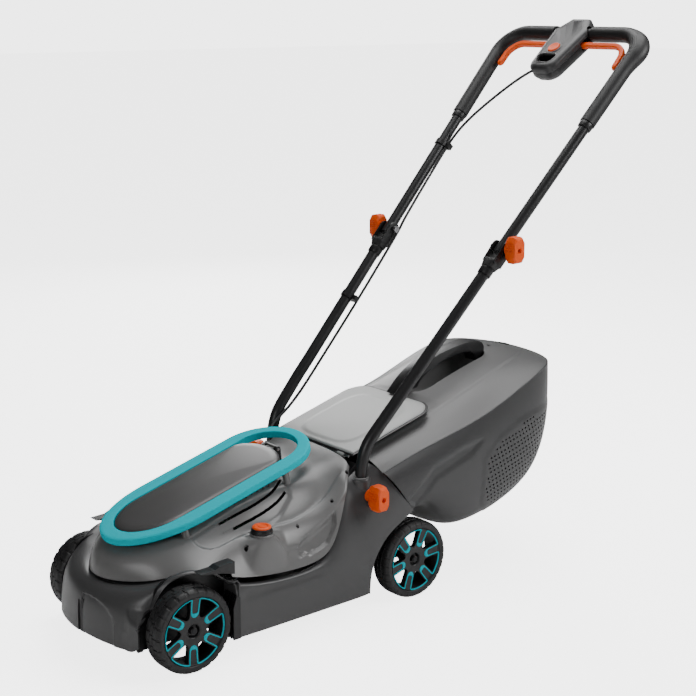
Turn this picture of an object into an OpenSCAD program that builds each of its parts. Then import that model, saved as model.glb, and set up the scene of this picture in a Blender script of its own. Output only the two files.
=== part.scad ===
// Cordless push mower: moulded deck and hood, folding U handle, rigid grass box.
// Millimetres, +Z up, front towards -Y. The ground is z = 0.

/* [Wheels] */
// Diameter of each wheel
wheel_d = 160; // [150:1:165]
// Width of each tyre
tyre_w = 45; // [38:1:48]
// Width over the outer faces of the tyres
track_w = 391; // [388:1:396]
// Distance between the front and rear axles
wheelbase = 532; // [526:1:536]

/* [Cutting] */
// Diameter of the circle that the blade cuts
blade_d = 318; // [280:2:322]
// Height of the blade's edge above the ground, as shown
cut_height = 40; // [38:1:46]
// Length of the arms that raise and lower the wheels
crank_arm = 60; // [56:1:62]

/* [Handle] */
// Outer diameter of the handle tubes
tube_d = 24; // [22:0.5:25]
// Outer diameter of the grips
grip_d = 34; // [30:1:36]
// Lean of the handle from level, in degrees
handle_tilt = 46.3; // [45:0.1:48]
// Outer diameter of the switch cable
cable_d = 6; // [5:0.5:7]

/* [Covers] */
// Wall thickness of the moulded shells
wall = 3; // [2.5:0.1:3.2]
// Thickness of the carry ring
ring_t = 15; // [12:1:16]
// Width over the carry ring
ring_w = 213; // [206:1:216]
// Width over the battery cover
cover_w = 142; // [130:1:143]

/* [Hidden] */

DARK = [0.21, 0.21, 0.22];
MID = [0.36, 0.36, 0.36];
LIGHT = [0.55, 0.56, 0.56];
BLACK = [0.06, 0.06, 0.07];
CYAN = [0.0, 0.66, 0.74];
ORANGE = [0.93, 0.32, 0.06];
STEEL = [0.7, 0.7, 0.72];

// Every length below is measured in a chassis frame whose y = 0 lies between the axles;
// this shift puts the model's origin under the middle of its footprint.
origin_y = 291.8;
gap = 0.4;
big = 600;

// Axles and height setting
wheel_r = wheel_d / 2;
axle_front_y = -253;
axle_rear_y = axle_front_y + wheelbase;
crank_drop = 10;
crank_reach = sqrt(pow(crank_arm, 2) - pow(crank_drop, 2));
crank_z = wheel_r + crank_drop;
crank_rod_r = 5;
bearing_r = 9;
stub_r = 5;
running_gap = 0.06;
arm_x = 148;
arm_t = 5;
lever_x = 120;
lever_len = 30;
pin_r = 3;
tyre_x = track_w / 2 - tyre_w;

// Deck
skirt_x = 187;
skirt_z = 35;
skirt_front_y = -152;
skirt_rear_y = 165;
nose_x = 140;
chamber_r = 168;
chamber_y = -5;
ceiling_z = 90;
chute_x = 105;

// Handle geometry: fold pivot, its tilt directions and the tube's ends
pivot_x = 172;
pivot_y = 526;
pivot_z = 683;
flare = 0.05;
along = [0, cos(handle_tilt), sin(handle_tilt)];
behind = [0, sin(handle_tilt), -cos(handle_tilt)];
socket_top_z = 264;
socket_foot = [144, 174, 196];
tube_r = tube_d / 2;
tube_wall = 1.5;
bar_s = 575;
corner_r = 60;
grip_s = 330;
bolt_r = 3;
lower_bolt_z = 234;
lower_bolt_y = 175;

// Carry ring and battery cover lie in one plane that rises to the rear
ring_front = [0, -313, 211];
ring_slope = 15.08;
ring_len = 459;
cover_gap = 1.6;
cover_hinge_v = 398;
cover_pin_v = 29 + cover_gap + 364;
cover_pin_y = ring_front[1] + cover_pin_v * cos(ring_slope) + 2 * sin(ring_slope);
cover_pin_z = ring_front[2] + cover_pin_v * sin(ring_slope) - 2 * cos(ring_slope);

// Rear flap plane
flap_front = [0, 169, 303];
flap_slope = 15;
flap_len = 236;

// ---------- helpers ----------
module placed() {
    translate([0, -origin_y, 0]) children();
}

module mirrored() {
    children();
    mirror([1, 0, 0]) children();
}

// Boolean results of curved shells are taken as one mesh
module one_mesh() {
    resize([0, 0, 0]) union() children();
}

module along_x(x0, x1) {
    translate([x0, 0, 0]) rotate([90, 0, 90]) linear_extrude(x1 - x0) children();
}

module rod_x(x0, x1, y, z, r, fn = 40) {
    translate([x0, y, z]) rotate([0, 90, 0]) cylinder(h = x1 - x0, r = r, $fn = fn);
}

module rod_between(a, b, r, fn = 24) {
    d = b - a;
    translate(a)
        rotate([0, acos(d[2] / norm(d)), atan2(d[1], d[0])])
            cylinder(h = norm(d), r = r, $fn = fn);
}

// Uniform cubic B-spline with its end points held
function spline_at(q, t) =
    let (
        s = t * (len(q) - 3),
        i = min(floor(s), len(q) - 4),
        f = s - i,
        b0 = pow(1 - f, 3) / 6,
        b1 = (3 * pow(f, 3) - 6 * pow(f, 2) + 4) / 6,
        b2 = (-3 * pow(f, 3) + 3 * pow(f, 2) + 3 * f + 1) / 6,
        b3 = pow(f, 3) / 6
    )
    b0 * q[i] + b1 * q[i + 1] + b2 * q[i + 2] + b3 * q[i + 3];

function held(p) = concat([p[0], p[0]], p, [p[len(p) - 1], p[len(p) - 1]]);

function curve(p, n) = let (q = held(p)) [for (i = [0:n]) spline_at(q, i / n)];

// Grid of points over a net of control rows: nu steps across rows, nv along a row
function surface_grid(net, nu, nv) =
    let (
        rows = [for (r = net) curve(r, nv)],
        cols = [for (j = [0:nv]) curve([for (r = rows) r[j]], nu)]
    )
    [for (i = [0:nu]) [for (j = [0:nv]) cols[j][i]]];

function unit(v) = norm(v) > 1e-9 ? v / norm(v) : [0, 0, 1];

function flat_x(v, on) = on ? [0, v[1], v[2]] : v;

function normal_at(g, i, j) =
    let (
        n = len(g) - 1,
        m = len(g[0]) - 1,
        a = g[min(i + 1, n)][j] - g[max(i - 1, 0)][j],
        b = g[i][min(j + 1, m)] - g[i][max(j - 1, 0)]
    )
    unit(flat_x(cross(b, a), abs(g[i][j][0]) < 0.01));

// Half shell of a surface grid, from the grid inwards by thick; x = 0 is the mirror plane
module half_shell(g, thick, lap = 0.02) {
    n = len(g) - 1;
    m = len(g[0]) - 1;
    w = m + 1;
    outer = [for (i = [0:n]) for (j = [0:m]) g[i][j]];
    inner = [for (i = [0:n]) for (j = [0:m]) g[i][j] - thick * normal_at(g, i, j)];
    pts = [for (p = concat(outer, inner)) [p[0] < 0.01 ? -lap : p[0], p[1], p[2]]];
    k = (n + 1) * w;
    sheet = [for (i = [0:n - 1]) for (j = [0:m - 1]) for (t = [0, 1])
        let (a = i * w + j)
        t == 0 ? [a, a + w, a + w + 1] : [a, a + w + 1, a + 1]];
    back = [for (f = sheet) [f[2] + k, f[1] + k, f[0] + k]];
    edge = concat(
        [for (j = [0:m - 1]) [j, j + 1]],
        [for (i = [0:n - 1]) [i * w + m, (i + 1) * w + m]],
        [for (j = [m:-1:1]) [n * w + j, n * w + j - 1]],
        [for (i = [n:-1:1]) [i * w, (i - 1) * w]]
    );
    rim = [for (e = edge) for (t = [0, 1])
        t == 0 ? [e[0], e[1], e[1] + k] : [e[0], e[1] + k, e[0] + k]];
    polyhedron(pts, concat(sheet, back, rim));
}

module shell(net, nu, nv, thick) {
    g = surface_grid(net, nu, nv);
    mirrored() half_shell(g, thick);
}

// Tube swept along a route, as one polyhedron
function route_frame(p, i) =
    let (n = len(p) - 1, t = unit(p[min(i + 1, n)] - p[max(i - 1, 0)]))
    [t, unit(cross(t, [0.31, 0.17, 0.93]))];

module sweep(p, r, sides) {
    n = len(p) - 1;
    pts = [for (i = [0:n]) for (k = [0:sides - 1])
        let (f = route_frame(p, i), a = 360 * k / sides, c = cross(f[0], f[1]))
        p[i] + r * (cos(a) * f[1] + sin(a) * c)];
    body = [for (i = [0:n - 1]) for (k = [0:sides - 1]) for (t = [0, 1])
        let (a = i * sides + k, b = i * sides + (k + 1) % sides)
        t == 0 ? [a, b + sides, b] : [a, a + sides, b + sides]];
    caps = [[for (k = [0:sides - 1]) k], [for (k = [sides - 1:-1:0]) n * sides + k]];
    polyhedron(pts, concat(caps, body));
}

// Long outline with elliptical ends: length from v = 0, half width hw
module long_outline(length, hw, front, rear, steps = 22) {
    polygon(concat(
        [for (i = [0:steps]) let (a = 180 + 180 * i / steps)
            [hw * cos(a), front + front * sin(a)]],
        [for (i = [0:steps]) let (a = 180 * i / steps)
            [hw * cos(a), length - rear + rear * sin(a)]]
    ));
}

module in_ring_plane(v = 0, w = 0) {
    translate(ring_front) rotate([ring_slope, 0, 0]) translate([0, v, w]) children();
}

module in_flap_plane(v = 0, w = 0) {
    translate(flap_front) rotate([flap_slope, 0, 0]) translate([0, v, w]) children();
}

// ---------- hood ----------
// Control rows fan out from the middle of the top to the seam with the deck
hood_net = [
    [[0, -215, 224], [0, -250, 215], [0, -290, 205], [0, -322, 192], [0, -334, 170], [0, -337, 150]],
    [[0, -212, 224], [24, -245, 215], [40, -278, 205], [48, -312, 192], [51, -322, 170], [52, -325, 150]],
    [[0, -205, 226], [45, -225, 219], [78, -252, 207], [92, -272, 194], [98, -282, 172], [101, -286, 154]],
    [[0, -190, 230], [55, -200, 226], [92, -215, 214], [108, -226, 200], [128, -238, 182], [146, -244, 172]],
    [[0, -160, 238], [58, -165, 236], [100, -172, 222], [116, -180, 204], [148, -190, 190], [176, -205, 180]],
    [[0, -120, 249], [60, -122, 248], [102, -126, 240], [118, -134, 214], [152, -148, 190], [181, -160, 152]],
    [[0, -60, 264], [60, -60, 264], [104, -62, 258], [122, -66, 218], [156, -74, 206], [181, -84, 138]],
    [[0, 0, 274], [60, 0, 274], [104, 0, 270], [126, 2, 214], [156, 0, 200], [180, -6, 131]],
    [[0, 50, 276], [60, 50, 276], [100, 52, 270], [132, 56, 216], [160, 56, 210], [179, 52, 135]],
    [[0, 90, 280], [60, 90, 280], [96, 92, 272], [130, 96, 232], [160, 92, 232], [176, 84, 158]],
    [[0, 125, 290], [60, 125, 289], [94, 126, 282], [126, 128, 262], [154, 124, 252], [168, 110, 212]],
    [[0, 148, 299], [60, 148, 297], [92, 148, 292], [116, 148, 284], [136, 146, 276], [146, 140, 262]],
    [[0, 166, 303], [50, 166, 302], [80, 166, 299], [100, 166, 295], [114, 165, 290], [124, 163, 282]]
];

module battery_bay() {
    in_ring_plane(70, -80) translate([-46, 0, 0]) cube([92, 178, 90]);
}

screw_spots = [[131, 150, 282], [150, 97, 230], [150, 12, 198], [156, -108, 200]];
button_spot = [150, -71];

// The two long side slots: start and end along the ring, and drop below it
vents = [[178, 322, 20, 16], [212, 318, 40, 34]];

module vent_cut(v, r, x0, x1) {
    hull() {
        in_ring_plane(v[0], -v[2]) rod_x(x0, x1, 0, 0, r, 10);
        in_ring_plane(v[1], -v[3]) rod_x(x0, x1, 0, 0, r, 10);
    }
}

module bracket_block(grow) {
    translate([170 - grow, -236 - grow, 158 - grow])
        cube([22 + 2 * grow, 74 + 2 * grow, 34 + 2 * grow]);
}

// Posts that carry the ring: distance along the ring plane and out from the middle
ring_posts = [[14, 0], [112, 90], [352, 90]];

module hood() {
    color(MID) placed() one_mesh() difference() {
        union() {
            shell(hood_net, 18, 8, wall);
            mirrored() for (p = ring_posts)
                in_ring_plane(p[0], -36) translate([p[1], 0, 0]) cylinder(h = 29, r = 7, $fn = 20);
        }
        battery_bay();
        mirrored() for (v = vents) vent_cut(v, 2.4, 84, 150);
        translate([button_spot[0], button_spot[1], 150]) cylinder(h = 90, r = 16.6, $fn = 24);
        mirrored() bracket_block(1);
        mirrored() translate([socket_foot[0], socket_foot[1], 180]) cylinder(h = 200, r = 23, $fn = 28);
        translate([-118, 152, 240]) cylinder(h = 90, r = 4.5, $fn = 20);
        mirrored() for (p = screw_spots) translate([p[0], p[1], p[2] - 25]) cylinder(h = 50, r = 2.6, $fn = 16);
    }
}

// ---------- lower deck ----------
nose_net = [
    [[0, -330, 142], [0, -343, 146], [0, -362, 139], [0, -374, 112], [0, -374, 50]],
    [[48, -319, 142], [52, -333, 146], [59, -354, 139], [64, -367, 112], [66, -367, 48]],
    [[90, -286, 146], [97, -301, 150], [109, -330, 147], [116, -347, 116], [118, -350, 46]],
    [[118, -258, 158], [125, -273, 161], [134, -304, 156], [139, -328, 122], [140, -334, 46]],
    [[132, -236, 168], [135, -247, 173], [138, -266, 175], [140, -288, 168], [141, -298, 158]],
    [[150, -212, 176], [153, -222, 180], [156, -232, 184], [158, -240, 184], [159, -246, 182]],
    [[168, -184, 165], [178, -188, 169], [184, -192, 172], [186, -194, 172], [187, -194, 171]],
    [[172, -160, 142], [182, -160, 146], [187, -157, 150], [187, -154, 150], [188, -152, 148]]
];
side_net = [
    [[174, -158, 142], [184, -158, 144], [187, -156, 120], [187, -154, 70], [186, -153, 36]],
    [[172, -100, 126], [183, -100, 128], [187, -100, 108], [187, -100, 70], [186, -100, 35]],
    [[172, -20, 119], [183, -20, 121], [187, -20, 104], [187, -20, 70], [186, -20, 35]],
    [[171, 46, 124], [182, 50, 126], [187, 54, 106], [187, 54, 70], [186, 54, 35]],
    [[168, 76, 150], [179, 86, 150], [186, 96, 116], [187, 98, 70], [186, 98, 35]],
    [[160, 100, 205], [171, 112, 206], [183, 124, 150], [187, 134, 80], [186, 136, 35]],
    [[146, 122, 244], [158, 132, 240], [180, 142, 180], [187, 154, 100], [186, 164, 36]],
    [[138, 132, 256], [150, 142, 254], [177, 152, 205], [186, 160, 130], [186, 165, 40]],
    [[136, 140, 262], [152, 150, 258], [176, 164, 222], [186, 172, 150], [186, 168, 95]],
    [[134, 170, 276], [154, 180, 270], [176, 190, 238], [186, 200, 176], [187, 206, 148]],
    [[132, 192, 284], [158, 198, 280], [176, 218, 254], [185, 240, 214], [187, 250, 168]],
    [[130, 198, 288], [160, 202, 283], [176, 222, 255], [185, 250, 219], [187, 278, 184]]
];
front_well = [
    [-322, 50], [-322, 92], [-316, 118], [-300, 140], [-278, 152], [-255, 158], [-220, 164],
    [-172, 158], [-152, 138], [-152, 36], [-172, 36], [-190, 50]
];
rear_well = [
    [150, 36], [150, 240], [196, 258], [262, 172], [262, 150], [240, 76], [200, 76], [168, 40]
];
chute_floor = [[160, 55], [290, 156], [288, 159], [158, 58]];
chute_roof = [[70, 90], [74, 90], [150, 228], [176, 262], [196, 276], [194, 279], [173, 265], [146, 230]];
chute_sides = [[70, 90], [146, 230], [173, 265], [194, 279], [288, 159], [160, 56], [148, 66], [100, 90]];

module chamber() {
    difference() {
        translate([0, chamber_y, skirt_z + 1]) cylinder(h = ceiling_z - skirt_z - 1, r = chamber_r + wall, $fn = 40);
        translate([0, chamber_y, 0]) cylinder(h = ceiling_z, r = chamber_r, $fn = 40);
        translate([-chute_x, 60, 46]) cube([2 * chute_x, 140, 60]);
    }
}

module ceiling() {
    difference() {
        translate([-184, skirt_front_y + 2, ceiling_z]) cube([368, 314, wall]);
        translate([-chute_x, 72, ceiling_z - 1]) cube([2 * chute_x, 100, wall + 2]);
        translate([0, chamber_y, 0]) cylinder(h = 200, r = 13, $fn = 40);
    }
    translate([0, chamber_y, ceiling_z]) difference() {
        cylinder(h = wall, r = chamber_r + wall, $fn = 40);
        translate([-200, 0, -1]) cube([400, 200, wall + 2]);
        translate([0, 0, -1]) cylinder(h = wall + 2, r = 13, $fn = 40);
    }
}

module tower() {
    difference() {
        union() {
            rod_between([144, 171, 150], [144, 174.6, socket_top_z], 21, 28);
            translate([138, 158, 150]) cube([12, 14, 80]);
        }
        rod_between(socket_foot - [0, 0.7, 6], [144, 175.1, socket_top_z + 10], tube_r + gap, 28);
        rod_x(110, 180, lower_bolt_y, lower_bolt_z, bolt_r + gap, 20);
    }
}

module lower_deck() {
    color(DARK) placed() one_mesh() difference() {
        union() {
            shell(nose_net, 14, 6, wall);
            mirrored() {
                half_shell(surface_grid(side_net, 17, 6), wall);
                along_x(nose_x - wall, nose_x) polygon(front_well);
                along_x(nose_x, nose_x + wall) polygon(rear_well);
                translate([nose_x - wall, skirt_front_y, skirt_z + 1])
                    cube([skirt_x - nose_x + 1, wall, 108]);
                translate([nose_x, skirt_rear_y - wall, skirt_z + 1])
                    cube([skirt_x - nose_x - 1, wall, 62]);
                along_x(chute_x, chute_x + wall) polygon(chute_sides);
                tower();
                translate([118, 158, 240]) cube([26, 6, 20]);
                translate([171, -168, 138]) cube([14, 20, 8]);
                along_x(131, 141) translate([axle_front_y - crank_reach, crank_z]) circle(r = 14, $fn = 24);
                along_x(131, 141) translate([axle_rear_y - crank_reach, crank_z]) circle(r = 14, $fn = 24);
            }
            along_x(-chute_x, chute_x) polygon(chute_floor);
            along_x(-chute_x, chute_x) polygon(chute_roof);
            chamber();
            ceiling();
        }
        for (y = [axle_front_y, axle_rear_y])
            rod_x(-200, 200, y - crank_reach, crank_z, bearing_r + gap, 32);
        mirrored() bracket_block(1);
        mirrored() rod_x(170.6, 230, lower_bolt_y, lower_bolt_z, 13.2, 24);
    }
}

// Bushes pressed into the deck, in which the cranks turn
module crank_bushes() {
    color(BLACK) placed() for (y = [axle_front_y, axle_rear_y]) mirrored() difference() {
        union() {
            rod_x(131.4, 143, y - crank_reach, crank_z, bearing_r, 40);
            rod_x(141.4, 143, y - crank_reach, crank_z, bearing_r + 3, 40);
        }
        rod_x(100, 160, y - crank_reach, crank_z, crank_rod_r + running_gap, 40);
    }
}

module axle_brackets() {
    color(BLACK) placed() mirrored() intersection() {
        bracket_block(0);
        along_x(150, 220) polygon([
            [-236, 183], [-205, 184], [-196, 188], [-163, 190], [-163, 166], [-190, 174], [-236, 182]
        ]);
    }
}

// ---------- carry ring, battery cover and bay ----------
module carry_ring() {
    color(CYAN) placed() difference() {
        in_ring_plane(0, 0) difference() {
            translate([0, 0, -ring_t / 2]) linear_extrude(ring_t)
                long_outline(ring_len, ring_w / 2, 150, 93);
            translate([0, 29, -ring_t]) linear_extrude(2 * ring_t)
                long_outline(409, cover_w / 2 + cover_gap, 88, 62);
        }
    }
}

module battery_cover() {
    color(DARK) placed() in_ring_plane(29 + cover_gap, 0) difference() {
        union() {
            translate([0, 0, -5]) linear_extrude(10)
                long_outline(cover_hinge_v - 44, cover_w / 2, 86, 40);
            hull() {
                translate([0, 0, 5]) linear_extrude(1)
                    long_outline(cover_hinge_v - 44, cover_w / 2, 86, 40);
                translate([0, 6, 10]) linear_extrude(2)
                    long_outline(cover_hinge_v - 60, cover_w / 2 - 14, 76, 40);
            }
            translate([-12, 342, -6]) cube([24, 24, 9]);
            translate([-12, 364, -2]) rotate([0, 90, 0]) cylinder(h = 24, r = 6, $fn = 32);
        }
        translate([0, 14, -8]) linear_extrude(10) long_outline(326, cover_w / 2 - 10, 70, 30);
        translate([-20, 364, -2]) rotate([0, 90, 0]) cylinder(h = 40, r = 2.55, $fn = 32);
    }
}

module cover_pin() {
    color(STEEL) placed() in_ring_plane(cover_pin_v, -2) rod_x(-20, 20, 0, 0, 2.5, 32);
}

// Dark bracket behind the battery cover: two ears that hold the hinge pin
module cover_bracket() {
    color(BLACK) placed() difference() {
        union() {
            mirrored() along_x(12.6, 18) hull() {
                translate([cover_pin_y, cover_pin_z]) circle(r = 6, $fn = 32);
                translate([cover_pin_y - 9, 274.5]) square([20, 2]);
            }
            translate([-18, cover_pin_y - 9, 274.5]) cube([36, 20, 4]);
        }
        rod_x(-30, 30, cover_pin_y, cover_pin_z, 2.52, 32);
    }
}

module battery_pack() {
    color(BLACK) placed() in_ring_plane(84, -66) {
        translate([-38, 0, 0]) cube([76, 132, 52]);
        translate([-30, 10, 52]) cube([60, 100, 6]);
    }
}

module controller_board() {
    color([0.05, 0.3, 0.15]) placed() translate([-45, -50, 168]) {
        cube([90, 70, 2]);
        translate([8, 8, 2]) cube([30, 24, 9]);
        translate([50, 10, 2]) cube([28, 40, 6]);
    }
}

// ---------- motor and blade ----------
motor_z = ceiling_z + wall;

module motor_base() {
    color(STEEL) placed() translate([0, chamber_y, motor_z]) difference() {
        union() {
            cylinder(h = 5, r = 56, $fn = 64);
            translate([0, 0, -12]) cylinder(h = 14, r = 12.4, $fn = 40);
            cylinder(h = 22, r = 16, $fn = 40);
        }
        translate([0, 0, -20]) cylinder(h = 60, r = 6 + running_gap, $fn = 40);
    }
}

module motor_can() {
    color([0.16, 0.16, 0.17]) placed() translate([0, chamber_y, motor_z + 5 + gap]) difference() {
        cylinder(h = 52, r = 46, $fn = 64);
        translate([0, 0, -1]) cylinder(h = 50, r = 43, $fn = 64);
    }
}

module motor_shaft() {
    color(STEEL) placed() translate([0, chamber_y, 0]) difference() {
        union() {
            translate([0, 0, 48]) cylinder(h = 94, r = 6, $fn = 40);
            translate([0, 0, 46.4]) cylinder(h = 10, r = 22, $fn = 48);
            translate([0, 0, 118]) cylinder(h = 18, r = 38, $fn = 48);
        }
        translate([0, 0, 40]) cylinder(h = 30, r = 4, $fn = 32);
    }
}

module blade() {
    color(STEEL) placed() translate([0, chamber_y, cut_height]) difference() {
        union() {
            translate([-blade_d / 2, -22, 2]) cube([blade_d, 44, 3]);
            for (k = [0, 180]) rotate(k) translate([blade_d / 2 - 70, 19, 2.4])
                rotate([35, 0, 0]) cube([60, 20, 2.4]);
        }
        translate([0, 0, -5]) cylinder(h = 20, r = 4.2, $fn = 32);
    }
}

module blade_bolt() {
    color(STEEL) placed() translate([0, chamber_y, 0]) {
        translate([0, 0, cut_height - 4.4]) cylinder(h = 6, r = 8, $fn = 6);
        translate([0, 0, cut_height + 1]) cylinder(h = 26, r = 3.9, $fn = 32);
    }
}

module cooling_fan() {
    color(BLACK) placed() translate([0, chamber_y, 58]) difference() {
        union() {
            cylinder(h = 3, r = 44, $fn = 48);
            cylinder(h = 16, r = 10, $fn = 40);
            for (k = [0:7]) rotate(45 * k) translate([12, -1, 0]) cube([30, 2, 14]);
        }
        translate([0, 0, -1]) cylinder(h = 30, r = 6.05, $fn = 40);
    }
}

// ---------- axles, height setting ----------
module crank(y) {
    py = y - crank_reach;
    rod_x(-arm_x - 1.4, arm_x + 1.4, py, crank_z, crank_rod_r, 40);
    mirrored() {
        along_x(arm_x - 4, arm_x - 4 + arm_t) hull() {
            translate([py, crank_z]) circle(r = 8, $fn = 32);
            translate([y, wheel_r]) circle(r = 7.5, $fn = 32);
        }
        rod_x(arm_x - 4, track_w / 2 - 4, y, wheel_r, stub_r, 40);
    }
    along_x(lever_x - 3, lever_x + 3) hull() {
        translate([py, crank_z]) circle(r = 8, $fn = 32);
        translate([py, crank_z + lever_len]) circle(r = 6, $fn = 32);
    }
    rod_x(lever_x + 2, lever_x + 10, py, crank_z + lever_len, pin_r, 32);
}

module front_axle() {
    color(STEEL) placed() crank(axle_front_y);
}

module rear_axle() {
    color(STEEL) placed() crank(axle_rear_y);
}

module axle_nuts(y) {
    mirrored() difference() {
        union() {
            rod_x(track_w / 2 - 11.6, track_w / 2 - 5, y, wheel_r, 7.4, 6);
            rod_x(track_w / 2 - 13.2, track_w / 2 - 11.6, y, wheel_r, 9, 40);
        }
        rod_x(0, track_w, y, wheel_r, stub_r, 40);
    }
}

module front_axle_nuts() {
    color(BLACK) placed() axle_nuts(axle_front_y);
}

module rear_axle_nuts() {
    color(BLACK) placed() axle_nuts(axle_rear_y);
}

module link_rod() {
    z = crank_z + lever_len;
    y0 = axle_front_y - crank_reach;
    y1 = axle_rear_y - crank_reach;
    color(STEEL) placed() difference() {
        along_x(lever_x + 4, lever_x + 8) union() {
            translate([y0, z]) circle(r = 6, $fn = 32);
            translate([y1, z]) circle(r = 6, $fn = 32);
            translate([y0, z - 4]) square([y1 - y0, 8]);
            for (k = [0:5]) translate([button_spot[1] - 29 + 10 * k, z + 3]) square([5, 3]);
        }
        rod_x(lever_x, lever_x + 20, y0, z, pin_r + running_gap, 32);
        rod_x(lever_x, lever_x + 20, y1, z, pin_r + 0.3, 32);
    }
}

module button_base() {
    color(BLACK) placed() translate([button_spot[0], button_spot[1], 0]) difference() {
        union() {
            translate([0, 0, 209]) cylinder(h = 8, r1 = 20, r2 = 19, $fn = 48);
            translate([0, 0, 182]) cylinder(h = 28, r = 12.4, $fn = 40);
        }
        translate([0, 0, 210]) cylinder(h = 20, r = 16, $fn = 48);
        translate([0, 0, 186]) cylinder(h = 40, r = 10, $fn = 40);
        translate([0, 0, 170]) cylinder(h = 60, r = 4.1, $fn = 32);
    }
}

module height_button() {
    z = crank_z + lever_len;
    color(ORANGE) placed() translate([button_spot[0], button_spot[1], 0]) {
        difference() {
            translate([0, 0, 215]) cylinder(h = 9, r1 = 15.6, r2 = 14.6, $fn = 48);
            translate([0, 0, 222.6]) cylinder(h = 4, r = 9, $fn = 48);
        }
        translate([0, 0, z + 26]) cylinder(h = 90 - crank_z + 70, r = 4, $fn = 32);
        translate([-30, -4, z + 24]) cube([34, 8, 6]);
        translate([lever_x + 6 - button_spot[0], 0, z + 13]) cylinder(h = 12, r = 3, $fn = 24);
    }
}

function helix(r, h, turns, x, y, z, steps) =
    [for (i = [0:steps * turns]) let (a = 360 * i / steps)
        [x + r * cos(a), y + r * sin(a), z + h * i / (steps * turns)]];

module height_spring() {
    color(STEEL) placed()
        sweep(helix(7, 24, 4, button_spot[0], button_spot[1], 188, 9), 0.8, 4);
}

// ---------- wheels ----------
rim_r = 64;

module tyre() {
    rotate([0, 90, 0]) difference() {
        rotate_extrude($fn = 96) polygon([
            [rim_r, -tyre_w / 2 + 1], [rim_r + 8, -tyre_w / 2], [wheel_r - 4, -tyre_w / 2],
            [wheel_r, -tyre_w / 2 + 5], [wheel_r, tyre_w / 2 - 5], [wheel_r - 4, tyre_w / 2],
            [rim_r + 8, tyre_w / 2], [rim_r, tyre_w / 2 - 1]
        ]);
        for (k = [0:23]) rotate(15 * k) translate([wheel_r - 2, -1.2, -tyre_w / 2 + 3])
            cube([6, 2.4, tyre_w - 6]);
    }
}

// A petal window, wide at the rim and round at its inner end
module petal() {
    hull() {
        translate([56, 0]) square([1, 24], center = true);
        translate([50, 0]) square([1, 26], center = true);
        translate([32, 0]) circle(r = 4, $fn = 24);
    }
}

module rim(side) {
    rotate([0, 90, 0]) scale([1, 1, side]) difference() {
        union() {
            rotate_extrude($fn = 72) polygon([
                [60, -19], [rim_r - gap, -19], [rim_r - gap, tyre_w / 2 - 1],
                [59, tyre_w / 2 - 1], [59, 10], [60, 9]
            ]);
            translate([0, 0, 8]) linear_extrude(9) difference() {
                circle(r = 61, $fn = 72);
                for (k = [0:5]) rotate(60 * k + 30) petal();
            }
            translate([0, 0, -20]) cylinder(h = 30, r = 14, $fn = 48);
        }
        translate([0, 0, -30]) cylinder(h = 60, r = stub_r + running_gap, $fn = 40);
        translate([0, 0, 9.3 - gap]) cylinder(h = 20, r = 12, $fn = 48);
    }
}

wheel_x = track_w / 2 - tyre_w / 2;

module wheel_at(side, y) {
    placed() translate([side * wheel_x, y, wheel_r]) children();
}

module tyre_front_left() { color(BLACK) wheel_at(-1, axle_front_y) tyre(); }
module tyre_front_right() { color(BLACK) wheel_at(1, axle_front_y) tyre(); }
module tyre_rear_left() { color(BLACK) wheel_at(-1, axle_rear_y) tyre(); }
module tyre_rear_right() { color(BLACK) wheel_at(1, axle_rear_y) tyre(); }
module rim_front_left() { color(BLACK) wheel_at(-1, axle_front_y) rim(-1); }
module rim_front_right() { color(BLACK) wheel_at(1, axle_front_y) rim(1); }
module rim_rear_left() { color(BLACK) wheel_at(-1, axle_rear_y) rim(-1); }
module rim_rear_right() { color(BLACK) wheel_at(1, axle_rear_y) rim(1); }

// ---------- rear flap ----------
module flap_outline(length, hw, r) {
    hull() {
        translate([-hw + 2, 0]) square([2 * hw - 4, 1]);
        for (s = [-1, 1]) translate([s * (hw - r), length - r]) circle(r = r, $fn = 32);
    }
}

flap_hw = 124;

module rear_flap() {
    color(LIGHT) placed() in_flap_plane(0, 0) difference() {
        union() {
            difference() {
                hull() {
                    translate([0, 2.6, -3]) linear_extrude(2) flap_outline(flap_len - 2.6, flap_hw, 34);
                    translate([0, 9, 1]) linear_extrude(1) flap_outline(flap_len - 14, flap_hw - 9, 30);
                }
                translate([0, 14, -4]) linear_extrude(2.5) flap_outline(flap_len - 34, flap_hw - 14, 28);
            }
            for (s = [-1, 1]) translate([s * 86 - 10, -1, -7]) {
                translate([0, 5, 0]) rotate([0, 90, 0]) cylinder(h = 20, r = 4.6, $fn = 32);
                translate([0, 5, 0]) cube([20, 5, 6]);
            }
        }
        translate([-150, 4, -7]) rotate([0, 90, 0]) cylinder(h = 300, r = 2.5 + running_gap, $fn = 32);
    }
}

module flap_pin() {
    color(STEEL) placed() in_flap_plane(4, -7) rod_x(-108, 108, 0, 0, 2.5, 32);
}

module flap_springs() {
    color(STEEL) placed() in_flap_plane(4, -7) for (s = [-1, 1])
        translate([s * 60 - 8, 0, 0]) rotate([0, 90, 0])
            sweep(helix(3.3, 16, 3, 0, 0, 0, 8), 0.5, 4);
}

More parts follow.
